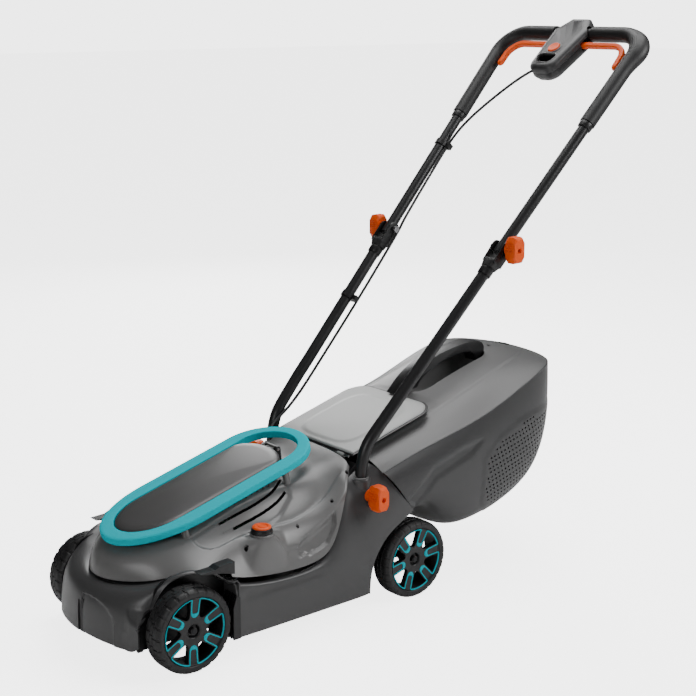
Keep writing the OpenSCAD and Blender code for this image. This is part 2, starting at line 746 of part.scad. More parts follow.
// ---------- grass box ----------
// One set of control rows serves both shells: they meet at the crease
box_upper = [
    [[0, 208, 298], [60, 208, 298], [112, 208, 295], [138, 208, 287], [158, 208, 279], [172, 208, 272]],
    [[0, 310, 325], [60, 310, 325], [118, 310, 322], [145, 310, 314], [166, 310, 307], [176, 310, 303]],
    [[0, 420, 358], [60, 420, 358], [115, 420, 353], [145, 420, 340], [168, 420, 328], [177, 420, 323]],
    [[0, 505, 388], [60, 505, 388], [112, 505, 381], [142, 505, 364], [166, 505, 350], [176, 505, 345]],
    [[0, 585, 410], [58, 588, 410], [106, 592, 406], [137, 596, 396], [162, 599, 388], [174, 600, 385]],
    [[0, 630, 420], [50, 640, 420], [94, 654, 418], [130, 666, 416], [152, 676, 414], [166, 680, 412]],
    [[0, 650, 423], [38, 666, 424], [72, 688, 423], [99, 704, 420], [118, 716, 416], [130, 722, 414]],
    [[0, 662, 424], [17, 686, 425], [34, 708, 424], [48, 724, 421], [59, 736, 418], [65, 742, 416]],
    [[0, 670, 425], [0, 692, 426], [0, 714, 425], [0, 730, 422], [0, 742, 418], [0, 748, 416]]
];
box_lower = [
    [[172, 208, 272], [184, 225, 254], [187, 262, 205], [172, 291, 173], [100, 302, 160], [0, 302, 160]],
    [[176, 310, 303], [188, 315, 270], [188, 322, 216], [172, 330, 188], [100, 336, 178], [0, 336, 178]],
    [[177, 420, 323], [188, 408, 280], [184, 392, 180], [170, 384, 116], [106, 392, 98], [0, 392, 98]],
    [[176, 505, 345], [187, 500, 290], [181, 492, 180], [164, 478, 110], [98, 476, 94], [0, 476, 94]],
    [[174, 600, 385], [183, 600, 300], [176, 590, 195], [158, 570, 130], [92, 562, 113], [0, 562, 113]],
    [[166, 680, 412], [172, 678, 300], [163, 662, 205], [144, 632, 152], [82, 620, 132], [0, 618, 132]],
    [[130, 722, 414], [137, 720, 300], [129, 700, 208], [110, 666, 160], [62, 646, 142], [0, 640, 140]],
    [[65, 742, 416], [69, 739, 300], [64, 720, 208], [54, 684, 162], [31, 658, 145], [0, 650, 142]],
    [[0, 748, 416], [0, 744, 300], [0, 726, 208], [0, 690, 163], [0, 664, 147], [0, 656, 143]]
];
handle_pocket = [[430, 640], 36, 30];

module pocket_shape(hw) {
    hull() for (y = handle_pocket[0]) translate([0, y + (y < 500 ? hw : -hw)]) circle(r = hw, $fn = 26);
}

module grass_box_top() {
    color(MID) placed() one_mesh() difference() {
        union() {
            shell(box_upper, 19, 9, wall);
            difference() {
                hull() {
                    translate([0, 0, 334]) linear_extrude(1) pocket_shape(handle_pocket[1] - 6);
                    translate([0, 0, 430]) linear_extrude(1) pocket_shape(handle_pocket[1] + wall);
                }
                above_box_top();
            }
        }
        hull() {
            translate([0, 0, 338]) linear_extrude(1) pocket_shape(handle_pocket[1] - 9);
            translate([0, 0, 450]) linear_extrude(1) pocket_shape(handle_pocket[1] + 1);
        }
        level_hole();
    }
}

module above_box_top() {
    along_x(-60, 60) polygon([[400, 349.4], [500, 384], [560, 401.5], [620, 414.4], [690, 423], [690, 500], [400, 500]]);
}

level_y = 722;

module level_shape(r) {
    intersection() {
        circle(r = r, $fn = 40);
        translate([-r, -r]) square([2 * r, r]);
    }
}

module level_hole() {
    translate([0, level_y, 380]) linear_extrude(60) offset(delta = 1.5) level_shape(22);
}

module level_flap() {
    color(MID) placed() translate([0, level_y, 422.6]) rotate([-8, 0, 0]) {
        translate([0, 0, -3]) linear_extrude(2.4) level_shape(21.6);
        rod_x(-18, 18, -1.8, -3, 1.6, 24);
    }
}

module grass_box_body() {
    color(DARK) placed() one_mesh() difference() {
        translate([0, 0, -gap]) shell(box_lower, 19, 10, wall);
        mirrored() for (r = [0:3]) for (c = [0:4])
            rod_x(150, 220, 505 + 26 * c + 4 * r, 185 + 32 * r + 6 * c, 2.4, 6);
    }
}

module box_handle() {
    outer = curve([[384, 366], [410, 394], [450, 420], [520, 441], [590, 450], [628, 449], [642, 432], [634, 412]], 20);
    inner = curve([[616, 404], [612, 420], [590, 430], [540, 426], [490, 412], [452, 392], [440, 374]], 16);
    color(BLACK) placed() along_x(-17, 17) polygon(concat(outer, inner));
}

// ---------- handle ----------
function on_handle(s, x) = [x, pivot_y, pivot_z] + s * along;

lower_bend = [
    [144, 175.5, 268], [144.4, 178, 296], [145.6, 186, 322], [147.6, 199, 341],
    [150.4, 226, 369], [153, 252, 396.5]
];
lower_end_s = -33;
lower_path = concat([socket_foot], curve(lower_bend, 10), [on_handle(lower_end_s, pivot_x + lower_end_s * flare)]);
lower_bore = concat(
    [socket_foot - [0, 0, 8]],
    curve(lower_bend, 10),
    [on_handle(lower_end_s + 6, pivot_x + (lower_end_s + 6) * flare)]
);

module lower_tube() {
    difference() {
        sweep(lower_path, tube_r, 20);
        sweep(lower_bore, tube_r - tube_wall, 12);
        rod_x(100, 200, lower_bolt_y, lower_bolt_z, bolt_r + gap, 24);
    }
}

module lower_tube_right() { color(DARK) placed() lower_tube(); }
module lower_tube_left() { color(DARK) placed() mirror([1, 0, 0]) lower_tube(); }

// Fork on the lower tube's end that holds the upper tube between two cheeks
fork_x = 13.6;

module fork() {
    translate([pivot_x, pivot_y, pivot_z]) rotate([90 - (90 - handle_tilt) - 90, 0, 0]) {
        difference() {
            union() {
                for (s = [-1, 1]) translate([s * (fork_x + 1.5), 0, 0]) hull() {
                    rotate([0, 90, 0]) cylinder(h = wall, r = 14.5, center = true, $fn = 40);
                    translate([0, 0, -38]) cube([wall, 27, 8], center = true);
                }
                hull() {
                    translate([0, 0, -38]) cube([2 * fork_x + 6, 28, 8], center = true);
                    translate([-3, 0, -70]) cylinder(h = 4, r = 14, $fn = 40);
                }
            }
            translate([-4.2, 0, -100]) cylinder(h = 68, r = tube_r + gap, $fn = 40);
            rod_x(-40, 40, 0, 0, bolt_r + running_gap, 32);
        }
    }
}

module tube_forks() {
    color(BLACK) placed() mirrored() fork();
}

// Four bolts on which the knobs turn: two at the fold, two through the deck's sockets
module handle_bolts() {
    color(STEEL) placed() mirrored() {
        rod_x(pivot_x - 26, pivot_x + 34, pivot_y, pivot_z, bolt_r, 32);
        rod_x(pivot_x - 26, pivot_x - 20, pivot_y, pivot_z, 7, 40);
        rod_x(pivot_x + 17.2, pivot_x + 19.4, pivot_y, pivot_z, 9, 40);
        rod_x(118, 200, lower_bolt_y, lower_bolt_z, bolt_r, 32);
        rod_x(115, 119, lower_bolt_y, lower_bolt_z, 6, 40);
    }
}

// Barrel knob with flats, a round neck towards the tube and a counterbored outer face
module knob(x0, x1, y, z, h, w, neck = 0) {
    difference() {
        union() {
            rod_x(x0 - neck, x0 + 5, y, z, w * 0.42, 40);
            hull() {
                translate([x0 + 4, y - w * 0.3, z - h / 2]) cube([x1 - x0 - 9, w * 0.6, h]);
                translate([x0 + 4, y - w / 2, z - h * 0.3]) cube([x1 - x0 - 9, w, h * 0.6]);
                translate([x1 - 1, y - w * 0.36, z - h * 0.3]) cube([1, w * 0.72, h * 0.6]);
            }
        }
        rod_x(x0 - neck - 1, x1 - 8, y, z, bolt_r + running_gap, 32);
        rod_x(x1 - 9, x1 + 1, y, z, 5, 32);
    }
}

lower_knob_x = 177;
mid_knob_x = pivot_x + 20;

module lower_knob_right() {
    color(ORANGE) placed() knob(lower_knob_x, lower_knob_x + 37, lower_bolt_y, lower_bolt_z, 50, 30, 6);
}

module lower_knob_left() {
    color(ORANGE) placed() mirror([1, 0, 0])
        knob(lower_knob_x, lower_knob_x + 37, lower_bolt_y, lower_bolt_z, 50, 30, 6);
}

module mid_knob_right() {
    color(ORANGE) placed() knob(mid_knob_x, mid_knob_x + 30, pivot_y, pivot_z, 54, 34);
}

module mid_knob_left() {
    color(ORANGE) placed() mirror([1, 0, 0])
        knob(mid_knob_x, mid_knob_x + 30, pivot_y, pivot_z, 54, 34);
}

side_top_s = bar_s - corner_r;
side_top_x = pivot_x + flare * side_top_s;
corner_arc = [for (i = [1:6]) let (a = 90 * i / 7)
    on_handle(side_top_s + corner_r * sin(a), side_top_x - corner_r * (1 - cos(a)))];
bar_end = on_handle(bar_s, side_top_x - corner_r);

// Centre line of one side of the U, from height s0 up and round to x_in
function half_path(s0, x_in) = concat(
    [on_handle(s0, pivot_x + flare * s0), on_handle(side_top_s, side_top_x)],
    corner_arc,
    [bar_end, [x_in, bar_end[1], bar_end[2]]]
);

function flip_x(p) = [for (i = [len(p) - 1:-1:0]) [-p[i][0], p[i][1], p[i][2]]];

upper_end_s = -14;

module upper_tube() {
    side = half_path(upper_end_s, 60);
    bore = half_path(upper_end_s - 6, 60);
    color(DARK) placed() difference() {
        sweep(concat(side, flip_x(side)), tube_r, 20);
        sweep(concat(bore, flip_x(bore)), tube_r - tube_wall, 12);
        rod_x(-250, 250, pivot_y, pivot_z, bolt_r + running_gap, 32);
    }
}

grip_in_x = 54;

module hand_grips() {
    r = grip_d / 2;
    color(BLACK) placed() one_mesh() mirrored() difference() {
        union() {
            sweep(half_path(grip_s, grip_in_x), r, 16);
            sweep(half_path(grip_s - 14, grip_in_x + 20), r - 2, 16);
            hull() {
                sweep([corner_arc[1], corner_arc[3], corner_arc[4]], r - 1, 12);
                translate(on_handle(bar_s + 4, side_top_x + 4) + behind * 8) sphere(r = 12, $fn = 12);
            }
        }
        sweep(half_path(grip_s - 40, grip_in_x - 20), tube_r + 0.3, 16);
    }
}

// ---------- console ----------
bar_at = on_handle(bar_s, 0);
console_slope = 37;
console_top_at = [0, bar_at[1] + 7.3, bar_at[2] + 29.2];
split_w = -19;

// Local axes: x across, y rearwards up the slope, z out of the top face
module in_console() {
    translate(console_top_at) rotate([console_slope, 0, 0]) children();
}

module console_plan(inset) {
    hull() {
        translate([0, 6 - inset]) square([52 - 2 * inset, 12], center = true);
        for (s = [-1, 1]) translate([s * (36 - inset), -34]) circle(r = 14, $fn = 20);
        for (s = [-1, 1]) translate([s * (12 - inset), -138 + inset]) circle(r = 25, $fn = 24);
    }
}

lever_hole_y = -54;
bail_shaft = [-58, -11];

module bar_hole(r) {
    rod_x(-80, 80, -23.4, -19, r, 40);
}

module console_top() {
    color(DARK) placed() in_console() difference() {
        union() {
            hull() {
                translate([0, 0, split_w + 0.2]) linear_extrude(12) console_plan(0);
                translate([0, -2, -2]) linear_extrude(2) console_plan(9);
            }
        }
        hull() {
            translate([0, 0, split_w - 1]) linear_extrude(12) console_plan(wall);
            translate([0, -2, -5]) linear_extrude(1) console_plan(11);
        }
        bar_hole(tube_r + gap);
        mirrored() translate([30, lever_hole_y - 12, -20]) cube([50, 30, 7]);
        translate([0, -96, -10]) cylinder(h = 20, r = 14.5, $fn = 40);
        translate([0, 0, -12]) linear_extrude(20) pocket_plan(0);
    }
}

module pocket_plan(grow) {
    hull() for (s = [-1, 1]) {
        translate([s * 11, -132]) circle(r = 12 + grow, $fn = 20);
        translate([s * 15, -126]) circle(r = 10 + grow, $fn = 20);
    }
}

module console_base() {
    color(BLACK) placed() in_console() difference() {
        union() {
            hull() {
                translate([0, 0, split_w - 10]) linear_extrude(10 - 0.2) console_plan(0);
                translate([0, 0, -44]) linear_extrude(2) console_plan(12);
            }
            translate([0, 0, split_w - 0.4]) linear_extrude(16) difference() {
                pocket_plan(-gap);
                pocket_plan(-gap - 2);
            }
        }
        difference() {
            hull() {
                translate([0, 0, split_w - 10]) linear_extrude(12) console_plan(wall);
                translate([0, 0, -41]) linear_extrude(2) console_plan(15);
            }
            translate([0, 0, -50]) linear_extrude(70) pocket_plan(-gap);
        }
        translate([0, 0, split_w - 12]) linear_extrude(50) pocket_plan(-gap - 2);
        bar_hole(tube_r + gap);
        mirrored() translate([30, lever_hole_y - 12, -34]) cube([50, 30, 40]);
        translate([-60, -118, -30]) rotate([0, 90, 0]) cylinder(h = 40, r = cable_d / 2 + 0.3, $fn = 24);
    }
}

module console_button() {
    color(ORANGE) placed() in_console() {
        translate([0, -96, -3]) cylinder(h = 7, r = 14, $fn = 48);
        translate([0, -96, -14]) cylinder(h = 12, r = 5, $fn = 32);
    }
}

// Both levers turn together on one shaft inside the console
bail_s = bar_s - 33;
bail_r = 6.5;
bail_end_s = side_top_s - 38;
bail_x = side_top_x - 31;
bail_path = concat(
    [on_handle(bail_s, 34)],
    [for (i = [0:8]) let (a = 90 * (8 - i) / 8)
        on_handle(bail_s - 36 + 36 * sin(a), bail_x - 36 + 36 * cos(a))],
    [on_handle(bail_end_s, bail_x + 1)]
);

module bail_levers() {
    color(ORANGE) placed() {
        mirrored() sweep(bail_path, bail_r, 16);
        in_console() {
            rod_x(-40, 40, bail_shaft[0], bail_shaft[1], 4, 32);
            mirrored() along_x(32, 36) hull() {
                translate([bail_shaft[0], bail_shaft[1]]) circle(r = 5, $fn = 32);
                translate([-55.5, -24]) circle(r = 6, $fn = 32);
            }
        }
    }
}

module bail_spring() {
    color(STEEL) placed() in_console() translate([-12, bail_shaft[0], bail_shaft[1]])
        rotate([0, 90, 0]) sweep(helix(5.6, 16, 3, 0, 0, 0, 8), 0.8, 4);
}

// ---------- cable ----------
cable_upper_route = [
    [-34, 835, 1024], [-42, 832, 1020], [-54, 824, 1012], [-72, 808, 996], [-94, 786, 972],
    [-118, 762, 944], [-140, 740, 916], [-156, 724, 892], [-166, 708, 868], [-168, 690, 846],
    [-164, 650, 804], [-160, 610, 762], [-156, 575, 725], [-153, 550, 698], [-152, 540, 684]
];
cable_lower_route = [
    [-152, 539, 683], [-150, 522, 664], [-148, 490, 628], [-144, 440, 574], [-141, 390, 520],
    [-138, 340, 468], [-135, 290, 416], [-133, 250, 374], [-132, 215, 342], [-131, 184, 322],
    [-130, 165, 312], [-122, 154, 300], [-118, 152, 284]
];

module cable_upper() {
    color(BLACK) placed() sweep(curve(cable_upper_route, 30), cable_d / 2, 8);
}

module cable_lower() {
    color(BLACK) placed() sweep(curve(cable_lower_route, 28), cable_d / 2, 8);
}

// Clip that snaps round the tube and carries the cable on its inner side
module cable_clip(s, x) {
    translate([-x, pivot_y, pivot_z] + s * along) rotate([handle_tilt - 90, 0, 0]) difference() {
        union() {
            cylinder(h = 12, r = tube_r + 2.6, $fn = 40);
            translate([4, 2, 0]) cube([20, 12, 12]);
        }
        translate([0, 0, -1]) cylinder(h = 14, r = tube_r + 0.1, $fn = 40);
        translate([18, 8, -1]) cylinder(h = 14, r = cable_d / 2 + 0.4, $fn = 24);
    }
}

module cable_clip_upper() { color(BLACK) placed() cable_clip(235, pivot_x + 235 * flare); }
module cable_clip_lower() { color(BLACK) placed() cable_clip(-190, pivot_x - 190 * flare); }

// ---------- small parts ----------
module deck_screws() {
    color(STEEL) placed() mirrored() for (p = screw_spots)
        translate([p[0], p[1], p[2] - 18]) {
            cylinder(h = 14, r = 2, $fn = 20);
            translate([0, 0, 10]) cylinder(h = 3, r = 2.4, $fn = 20);
        }
}

module vent_grilles() {
    color(BLACK) placed() mirrored() for (k = [0:9]) in_ring_plane(186 + 14 * k, -44)
        translate([84, 0, 0]) cube([2, 3, 32]);
}

lower_deck();
hood();
carry_ring();
motor_can();
motor_base();
battery_pack();
controller_board();
deck_screws();
button_base();
height_spring();
axle_brackets();
lower_tube_left();
lower_tube_right();
tube_forks();
cover_pin();
flap_pin();
flap_springs();
cable_lower();
cable_clip_lower();
crank_bushes();
cover_bracket();
handle_bolts();
vent_grilles();
battery_cover();
motor_shaft();
blade();
blade_bolt();
cooling_fan();
front_axle();
front_axle_nuts();
rear_axle();
rear_axle_nuts();
link_rod();
height_button();
tyre_front_left();
tyre_front_right();
tyre_rear_left();
tyre_rear_right();
rim_front_left();
rim_front_right();
rim_rear_left();
rim_rear_right();
rear_flap();
grass_box_body();
grass_box_top();
box_handle();
level_flap();
lower_knob_left();
lower_knob_right();
mid_knob_left();
mid_knob_right();
upper_tube();
hand_grips();
console_top();
console_base();
bail_levers();
bail_spring();
console_button();
cable_upper();
cable_clip_upper();
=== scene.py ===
import bpy
import bmesh
import math
import numpy as np
from mathutils import Vector, Matrix


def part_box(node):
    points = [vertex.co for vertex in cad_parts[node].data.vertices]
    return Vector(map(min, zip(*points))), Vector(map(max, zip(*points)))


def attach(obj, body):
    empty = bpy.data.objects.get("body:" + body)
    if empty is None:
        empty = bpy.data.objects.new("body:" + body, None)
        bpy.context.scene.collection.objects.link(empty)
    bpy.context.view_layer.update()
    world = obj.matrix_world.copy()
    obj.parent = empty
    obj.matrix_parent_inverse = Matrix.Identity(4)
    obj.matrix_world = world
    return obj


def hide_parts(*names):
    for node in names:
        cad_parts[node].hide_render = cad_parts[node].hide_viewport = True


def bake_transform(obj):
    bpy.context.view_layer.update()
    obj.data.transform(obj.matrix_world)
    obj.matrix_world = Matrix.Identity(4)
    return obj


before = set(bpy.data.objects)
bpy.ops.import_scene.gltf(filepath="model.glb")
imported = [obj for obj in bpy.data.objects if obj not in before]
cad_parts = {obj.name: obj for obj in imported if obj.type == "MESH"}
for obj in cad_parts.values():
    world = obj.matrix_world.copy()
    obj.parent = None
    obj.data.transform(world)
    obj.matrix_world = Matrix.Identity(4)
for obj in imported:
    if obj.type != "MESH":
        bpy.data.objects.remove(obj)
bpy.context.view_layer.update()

# Lengths below are millimetres in a chassis frame, which OY (metres) ties to the shared one.
AXLE_Y = {"front": -253, "rear": 279}
WHEEL_X, WHEEL_R = 173, 80
_lo, _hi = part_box("tyre_front_right")
OY = AXLE_Y["front"] / 1000 - (_lo[1] + _hi[1]) / 2


def row(p):
    """Chassis millimetres to metres in the shared frame."""
    p = np.asarray(p, float).reshape(-1, 3) / 1000.0
    p[:, 1] -= OY
    return p


# ---------------------------------------------------------------- materials
ROUGH_DRIFT = 0.05
GRAIN_HEIGHT = 0.0004


def plastic(name, rgb, rough=0.5, grain=0.12, cell=900.0, mottle=0.06, metal=0.0, spec=0.5):
    """Moulded or painted surface: fine grain bump, slow drift of tone and roughness."""
    m = bpy.data.materials.new(name)
    m.use_nodes = True
    nt = m.node_tree
    b = nt.nodes["Principled BSDF"]
    tc = nt.nodes.new("ShaderNodeTexCoord")
    fine = nt.nodes.new("ShaderNodeTexNoise")
    fine.inputs["Scale"].default_value = cell
    fine.inputs["Detail"].default_value = 2.0
    wide = nt.nodes.new("ShaderNodeTexNoise")
    wide.inputs["Scale"].default_value = 9.0
    wide.inputs["Detail"].default_value = 3.0
    for n in (fine, wide):
        nt.links.new(tc.outputs["Object"], n.inputs["Vector"])
    mix = nt.nodes.new("ShaderNodeMix")
    mix.data_type = "RGBA"
    mix.inputs[6].default_value = [c * (1 - mottle) for c in rgb] + [1]
    mix.inputs[7].default_value = [min(1, c * (1 + mottle)) for c in rgb] + [1]
    nt.links.new(wide.outputs["Fac"], mix.inputs[0])
    nt.links.new(mix.outputs[2], b.inputs["Base Color"])
    rr = nt.nodes.new("ShaderNodeMapRange")
    rr.inputs["To Min"].default_value = rough - ROUGH_DRIFT
    rr.inputs["To Max"].default_value = rough + ROUGH_DRIFT
    nt.links.new(wide.outputs["Fac"], rr.inputs["Value"])
    nt.links.new(rr.outputs["Result"], b.inputs["Roughness"])
    bump = nt.nodes.new("ShaderNodeBump")
    bump.inputs["Strength"].default_value = grain
    bump.inputs["Distance"].default_value = GRAIN_HEIGHT
    nt.links.new(fine.outputs["Fac"], bump.inputs["Height"])
    nt.links.new(bump.outputs["Normal"], b.inputs["Normal"])
    b.inputs["Metallic"].default_value = metal
    b.inputs["Specular IOR Level"].default_value = spec
    return m


M_DECK = plastic("deck_dark_grey", (0.050, 0.050, 0.051), 0.36)
M_HOOD = plastic("hood_mid_grey", (0.140, 0.139, 0.138), 0.33)
M_COVER = plastic("cover_charcoal", (0.045, 0.044, 0.044), 0.36)
M_FLAP = plastic("flap_light_grey", (0.30, 0.305, 0.30), 0.40)
M_BOXTOP = plastic("box_top_grey", (0.100, 0.100, 0.100), 0.40)
M_BOX = plastic("box_dark_grey", (0.030, 0.030, 0.031), 0.40)
# Black plastic; also used as painted shade in the wheel wells, behind the nose slit and round the flap.
M_BLACK_AND_SHADE = plastic("black_plastic", (0.006, 0.006, 0.0065), 0.40)
M_RING = plastic("turquoise_ring", (0.0, 0.46, 0.54), 0.55, grain=0.04, mottle=0.03, spec=0.0)
M_TRIM = plastic("turquoise_trim", (0.0, 0.42, 0.50), 0.55, grain=0.04, mottle=0.03, spec=0.0)
M_ORANGE = plastic("orange_plastic", (0.85, 0.09, 0.004), 0.40, grain=0.08, mottle=0.04, spec=0.3)
M_TUBE = plastic("tube_dark_paint", (0.020, 0.020, 0.021), 0.34, grain=0.25, cell=1500, metal=0.3)
M_GRIP = plastic("soft_grip", (0.010, 0.010, 0.0105), 0.50, grain=0.12, cell=700)
M_TYRE = plastic("tyre_rubber", (0.008, 0.008, 0.0085), 0.50, grain=0.4, cell=500, mottle=0.15)
M_RIM = plastic("rim_black", (0.006, 0.006, 0.0065), 0.38)
M_STEEL = plastic("plain_steel", (0.40, 0.40, 0.41), 0.32, grain=0.2, cell=1800, metal=1.0)
# Steel darkened to near black as painted shade: the shade in the hub recesses and down the hood's screw
# holes.
M_STEEL_PAINTED_SHADE = plastic("steel_darkened_for_painted_shade", (0.020, 0.020, 0.021), 0.40, grain=0.2, cell=1800, metal=0.7)
M_BOARD = plastic("board_green", (0.02, 0.14, 0.06), 0.45)
M_CABLE = plastic("cable_sheath", (0.008, 0.008, 0.0085), 0.46)
M_CONSOLE = plastic("console_grey", (0.040, 0.040, 0.041), 0.38)


# ---------------------------------------------------------------- mesh helpers
WALL = 3.0


def mesh_object(name, pts, faces, mat, angle=35.0, weld=True):
    me = bpy.data.meshes.new(name)
    me.from_pydata(row(pts).tolist(), [], [tuple(int(i) for i in f) for f in faces])
    bm = bmesh.new()
    bm.from_mesh(me)
    if weld:
        bmesh.ops.remove_doubles(bm, verts=bm.verts, dist=2e-6)
        bmesh.ops.dissolve_degenerate(bm, dist=1e-7, edges=bm.edges)
    bmesh.ops.recalc_face_normals(bm, faces=bm.faces)
    bm.to_mesh(me)
    bm.free()
    ob = bpy.data.objects.new(name, me)
    bpy.context.scene.collection.objects.link(ob)
    if mat:
        me.materials.append(mat)
    smooth(ob, angle)
    return ob


def smooth(ob, angle=35.0):
    me = ob.data
    me.polygons.foreach_set("use_smooth", [True] * len(me.polygons))
    me.set_sharp_from_angle(angle=math.radians(angle))
    me.update()


def baked(ob, angle=35.0):
    """Applies the object's modifiers to its mesh."""
    dg = bpy.context.evaluated_depsgraph_get()
    me = bpy.data.meshes.new_from_object(ob.evaluated_get(dg), depsgraph=dg)
    old = ob.data
    ob.modifiers.clear()
    ob.data = me
    me.name = ob.name
    if old.users == 0:
        bpy.data.meshes.remove(old)
    smooth(ob, angle)


def drop(obs):
    for o in obs:
        me = o.data
        bpy.data.objects.remove(o, do_unlink=True)
        if me.users == 0:
            bpy.data.meshes.remove(me)


def joined(name, obs):
    """One object from several meshes that keep their materials."""
    bm = bmesh.new()
    mats = []
    for o in obs:
        start = len(bm.faces)
        bm.from_mesh(o.data)
        bm.faces.ensure_lookup_table()
        slots = []
        for m in o.data.materials:
            if m not in mats:
                mats.append(m)
            slots.append(mats.index(m))
        for f in bm.faces[start:]:
            f.material_index = slots[f.material_index] if slots else 0
    me = bpy.data.meshes.new(name)
    bm.to_mesh(me)
    bm.free()
    for m in mats:
        me.materials.append(m)
    drop(obs)
    ob = bpy.data.objects.new(name, me)
    bpy.context.scene.collection.objects.link(ob)
    return ob


def boolean(ob, tools):
    """Cuts the tools out of the object and deletes them."""
    for t in tools:
        md = ob.modifiers.new("cut", "BOOLEAN")
        md.operation = "DIFFERENCE"
        md.solver = "MANIFOLD"
        md.object = t
    bpy.context.view_layer.update()
    baked(ob)
    drop(tools)


def bevel(ob, width, segments=2, angle=30.0):
    md = ob.modifiers.new("edge", "BEVEL")
    md.width = width / 1000.0
    md.segments = segments
    md.limit_method = "ANGLE"
    md.angle_limit = math.radians(angle)
    md.harden_normals = True


def grid_faces(n, m, close_u=False, close_v=False, base=0):
    fs = []
    for i in range(n if close_u else n - 1):
        for j in range(m if close_v else m - 1):
            a, b = i * m + j, i * m + (j + 1) % m
            c, d = ((i + 1) % n) * m + (j + 1) % m, ((i + 1) % n) * m + j
            fs.append((base + a, base + b, base + c, base + d))
    return fs


def loft(name, rows, mat, caps=True, close_u=False, angle=35.0):
    """Closed loops (n, m, 3) joined one to the next, with flat ends."""
    rows = np.asarray(rows, float)
    n, m = rows.shape[:2]
    fs = grid_faces(n, m, close_u, True)
    if caps and not close_u:
        fs += [tuple(range(m))[::-1], tuple(range((n - 1) * m, n * m))]
    return mesh_object(name, rows.reshape(-1, 3), fs, mat, angle)


def shell(name, g, mat):
    """Sheet with a wall under it, closed all round."""
    n, m = g.shape[:2]
    k = n * m
    fs = grid_faces(n, m) + [f[::-1] for f in grid_faces(n, m, base=k)]
    rim = [(i, 0) for i in range(n)] + [(n - 1, j) for j in range(1, m)]
    rim += [(i, m - 1) for i in range(n - 2, -1, -1)] + [(0, j) for j in range(m - 2, 0, -1)]
    e = [i * m + j for i, j in rim]
    for a, b in zip(e, e[1:] + e[:1]):
        fs.append((b, a, a + k, b + k))
    pts = np.concatenate([g.reshape(-1, 3), (g - grid_normals(g) * WALL).reshape(-1, 3)])
    return mesh_object(name, pts, fs, mat, weld=False)


def prism(name, poly, a, b, axis, mat):
    """Polygon in the two other axes, extruded along x, y or z from a to b."""
    poly = np.asarray(poly, float)
    out = []
    for s in (a, b):
        col = np.full(len(poly), float(s))
        if axis == "x":
            out.append(np.column_stack([col, poly[:, 0], poly[:, 1]]))
        elif axis == "y":
            out.append(np.column_stack([poly[:, 0], col, poly[:, 1]]))
        else:
            out.append(np.column_stack([poly[:, 0], poly[:, 1], col]))
    return loft(name, out, mat)


def block(name, lo, hi, mat):
    (x0, y0, z0), (x1, y1, z1) = lo, hi
    return prism(name, [(x0, y0), (x1, y0), (x1, y1), (x0, y1)], z0, z1, "z", mat)


def circle(r, n=48, c=(0, 0)):
    a = np.linspace(0, 2 * np.pi, n, endpoint=False)
    return np.column_stack([c[0] + r * np.cos(a), c[1] + r * np.sin(a)])


def lathe(name, profile, mat, centre, axis="z", n=96, caps=True):
    """Profile of (radius, height) turned round an axis through centre."""
    a = np.linspace(0, 2 * np.pi, n, endpoint=False)
    rows = []
    for r, h in profile:
        c, s, k = max(r, 0.001) * np.cos(a), max(r, 0.001) * np.sin(a), np.full(n, float(h))
        if axis == "z":
            rows.append(np.column_stack([c, s, k]))
        elif axis == "x":
            rows.append(np.column_stack([k, c, s]))
        else:
            rows.append(np.column_stack([s, k, c]))
    rows = np.array(rows) + np.asarray(centre, float)
    return loft(name, rows, mat, caps=caps)


def frames(path):
    """Points, tangents and two cross directions that don't twist along a path."""
    p = np.asarray(path, float)
    t = np.gradient(p, axis=0)
    t /= np.linalg.norm(t, axis=1)[:, None]
    ref = np.array([1.0, 0, 0]) if abs(t[0][0]) < 0.9 else np.array([0, 1.0, 0])
    u = np.cross(np.cross(t[0], ref), t[0])
    u /= np.linalg.norm(u)
    us, vs = [], []
    for i in range(len(p)):
        u = u - t[i] * np.dot(u, t[i])
        u /= np.linalg.norm(u)
        us.append(u)
        vs.append(np.cross(t[i], u))
    return p, t, np.array(us), np.array(vs)


def tube(name, path, radius, mat, sides=32, shape=None):
    """radius is a number or one per point; shape(i, direction) adds to it per direction."""
    p, _, u, v = frames(path)
    a = np.linspace(0, 2 * np.pi, sides, endpoint=False)
    r = np.broadcast_to(np.asarray(radius, float), (len(p),))
    rows = []
    for i in range(len(p)):
        d = np.outer(np.cos(a), u[i]) + np.outer(np.sin(a), v[i])
        rr = np.full(sides, r[i])
        if shape:
            rr = rr + shape(i, d)
        rows.append(p[i] + d * rr[:, None])
    return loft(name, rows, mat)


def spline(q, n):
    """Uniform cubic B-spline through the ends of q, n steps."""
    q = np.asarray(q, float)
    q = np.concatenate([[q[0], q[0]], q, [q[-1], q[-1]]])
    s = np.linspace(0, 1, n + 1) * (len(q) - 3)
    i = np.minimum(s.astype(int), len(q) - 4)
    f = (s - i)[:, None]
    return (
        (1 - f) ** 3 / 6 * q[i]
        + (3 * f**3 - 6 * f**2 + 4) / 6 * q[i + 1]
        + (-3 * f**3 + 3 * f**2 + 3 * f + 1) / 6 * q[i + 2]
        + f**3 / 6 * q[i + 3]
    )


def surface(net, nu, nv):
    """Grid of points on the B-spline surface of a net of control points."""
    rows = np.array([spline(r, nv) for r in net])
    return np.stack([spline(rows[:, j], nu) for j in range(nv + 1)], axis=1)


def both_sides(g):
    return np.concatenate([g[:, :0:-1] * np.array([-1, 1, 1]), g], axis=1)


def grid_normals(g):
    a = np.gradient(g, axis=0)
    b = np.gradient(g, axis=1)
    n = np.cross(b, a)
    return n / np.maximum(np.linalg.norm(n, axis=2), 1e-9)[..., None]


def step(x, a, b):
    """0 below a, 1 above b, smooth between."""
    t = np.clip((x - a) / (b - a), 0, 1)
    return t * t * (3 - 2 * t)


def mirror_x(ob, name=None):
    me = ob.data.copy()
    me.transform(Matrix.Scale(-1, 4, (1, 0, 0)))
    me.flip_normals()
    new = bpy.data.objects.new(name or ob.name + "_m", me)
    bpy.context.scene.collection.objects.link(new)
    return new


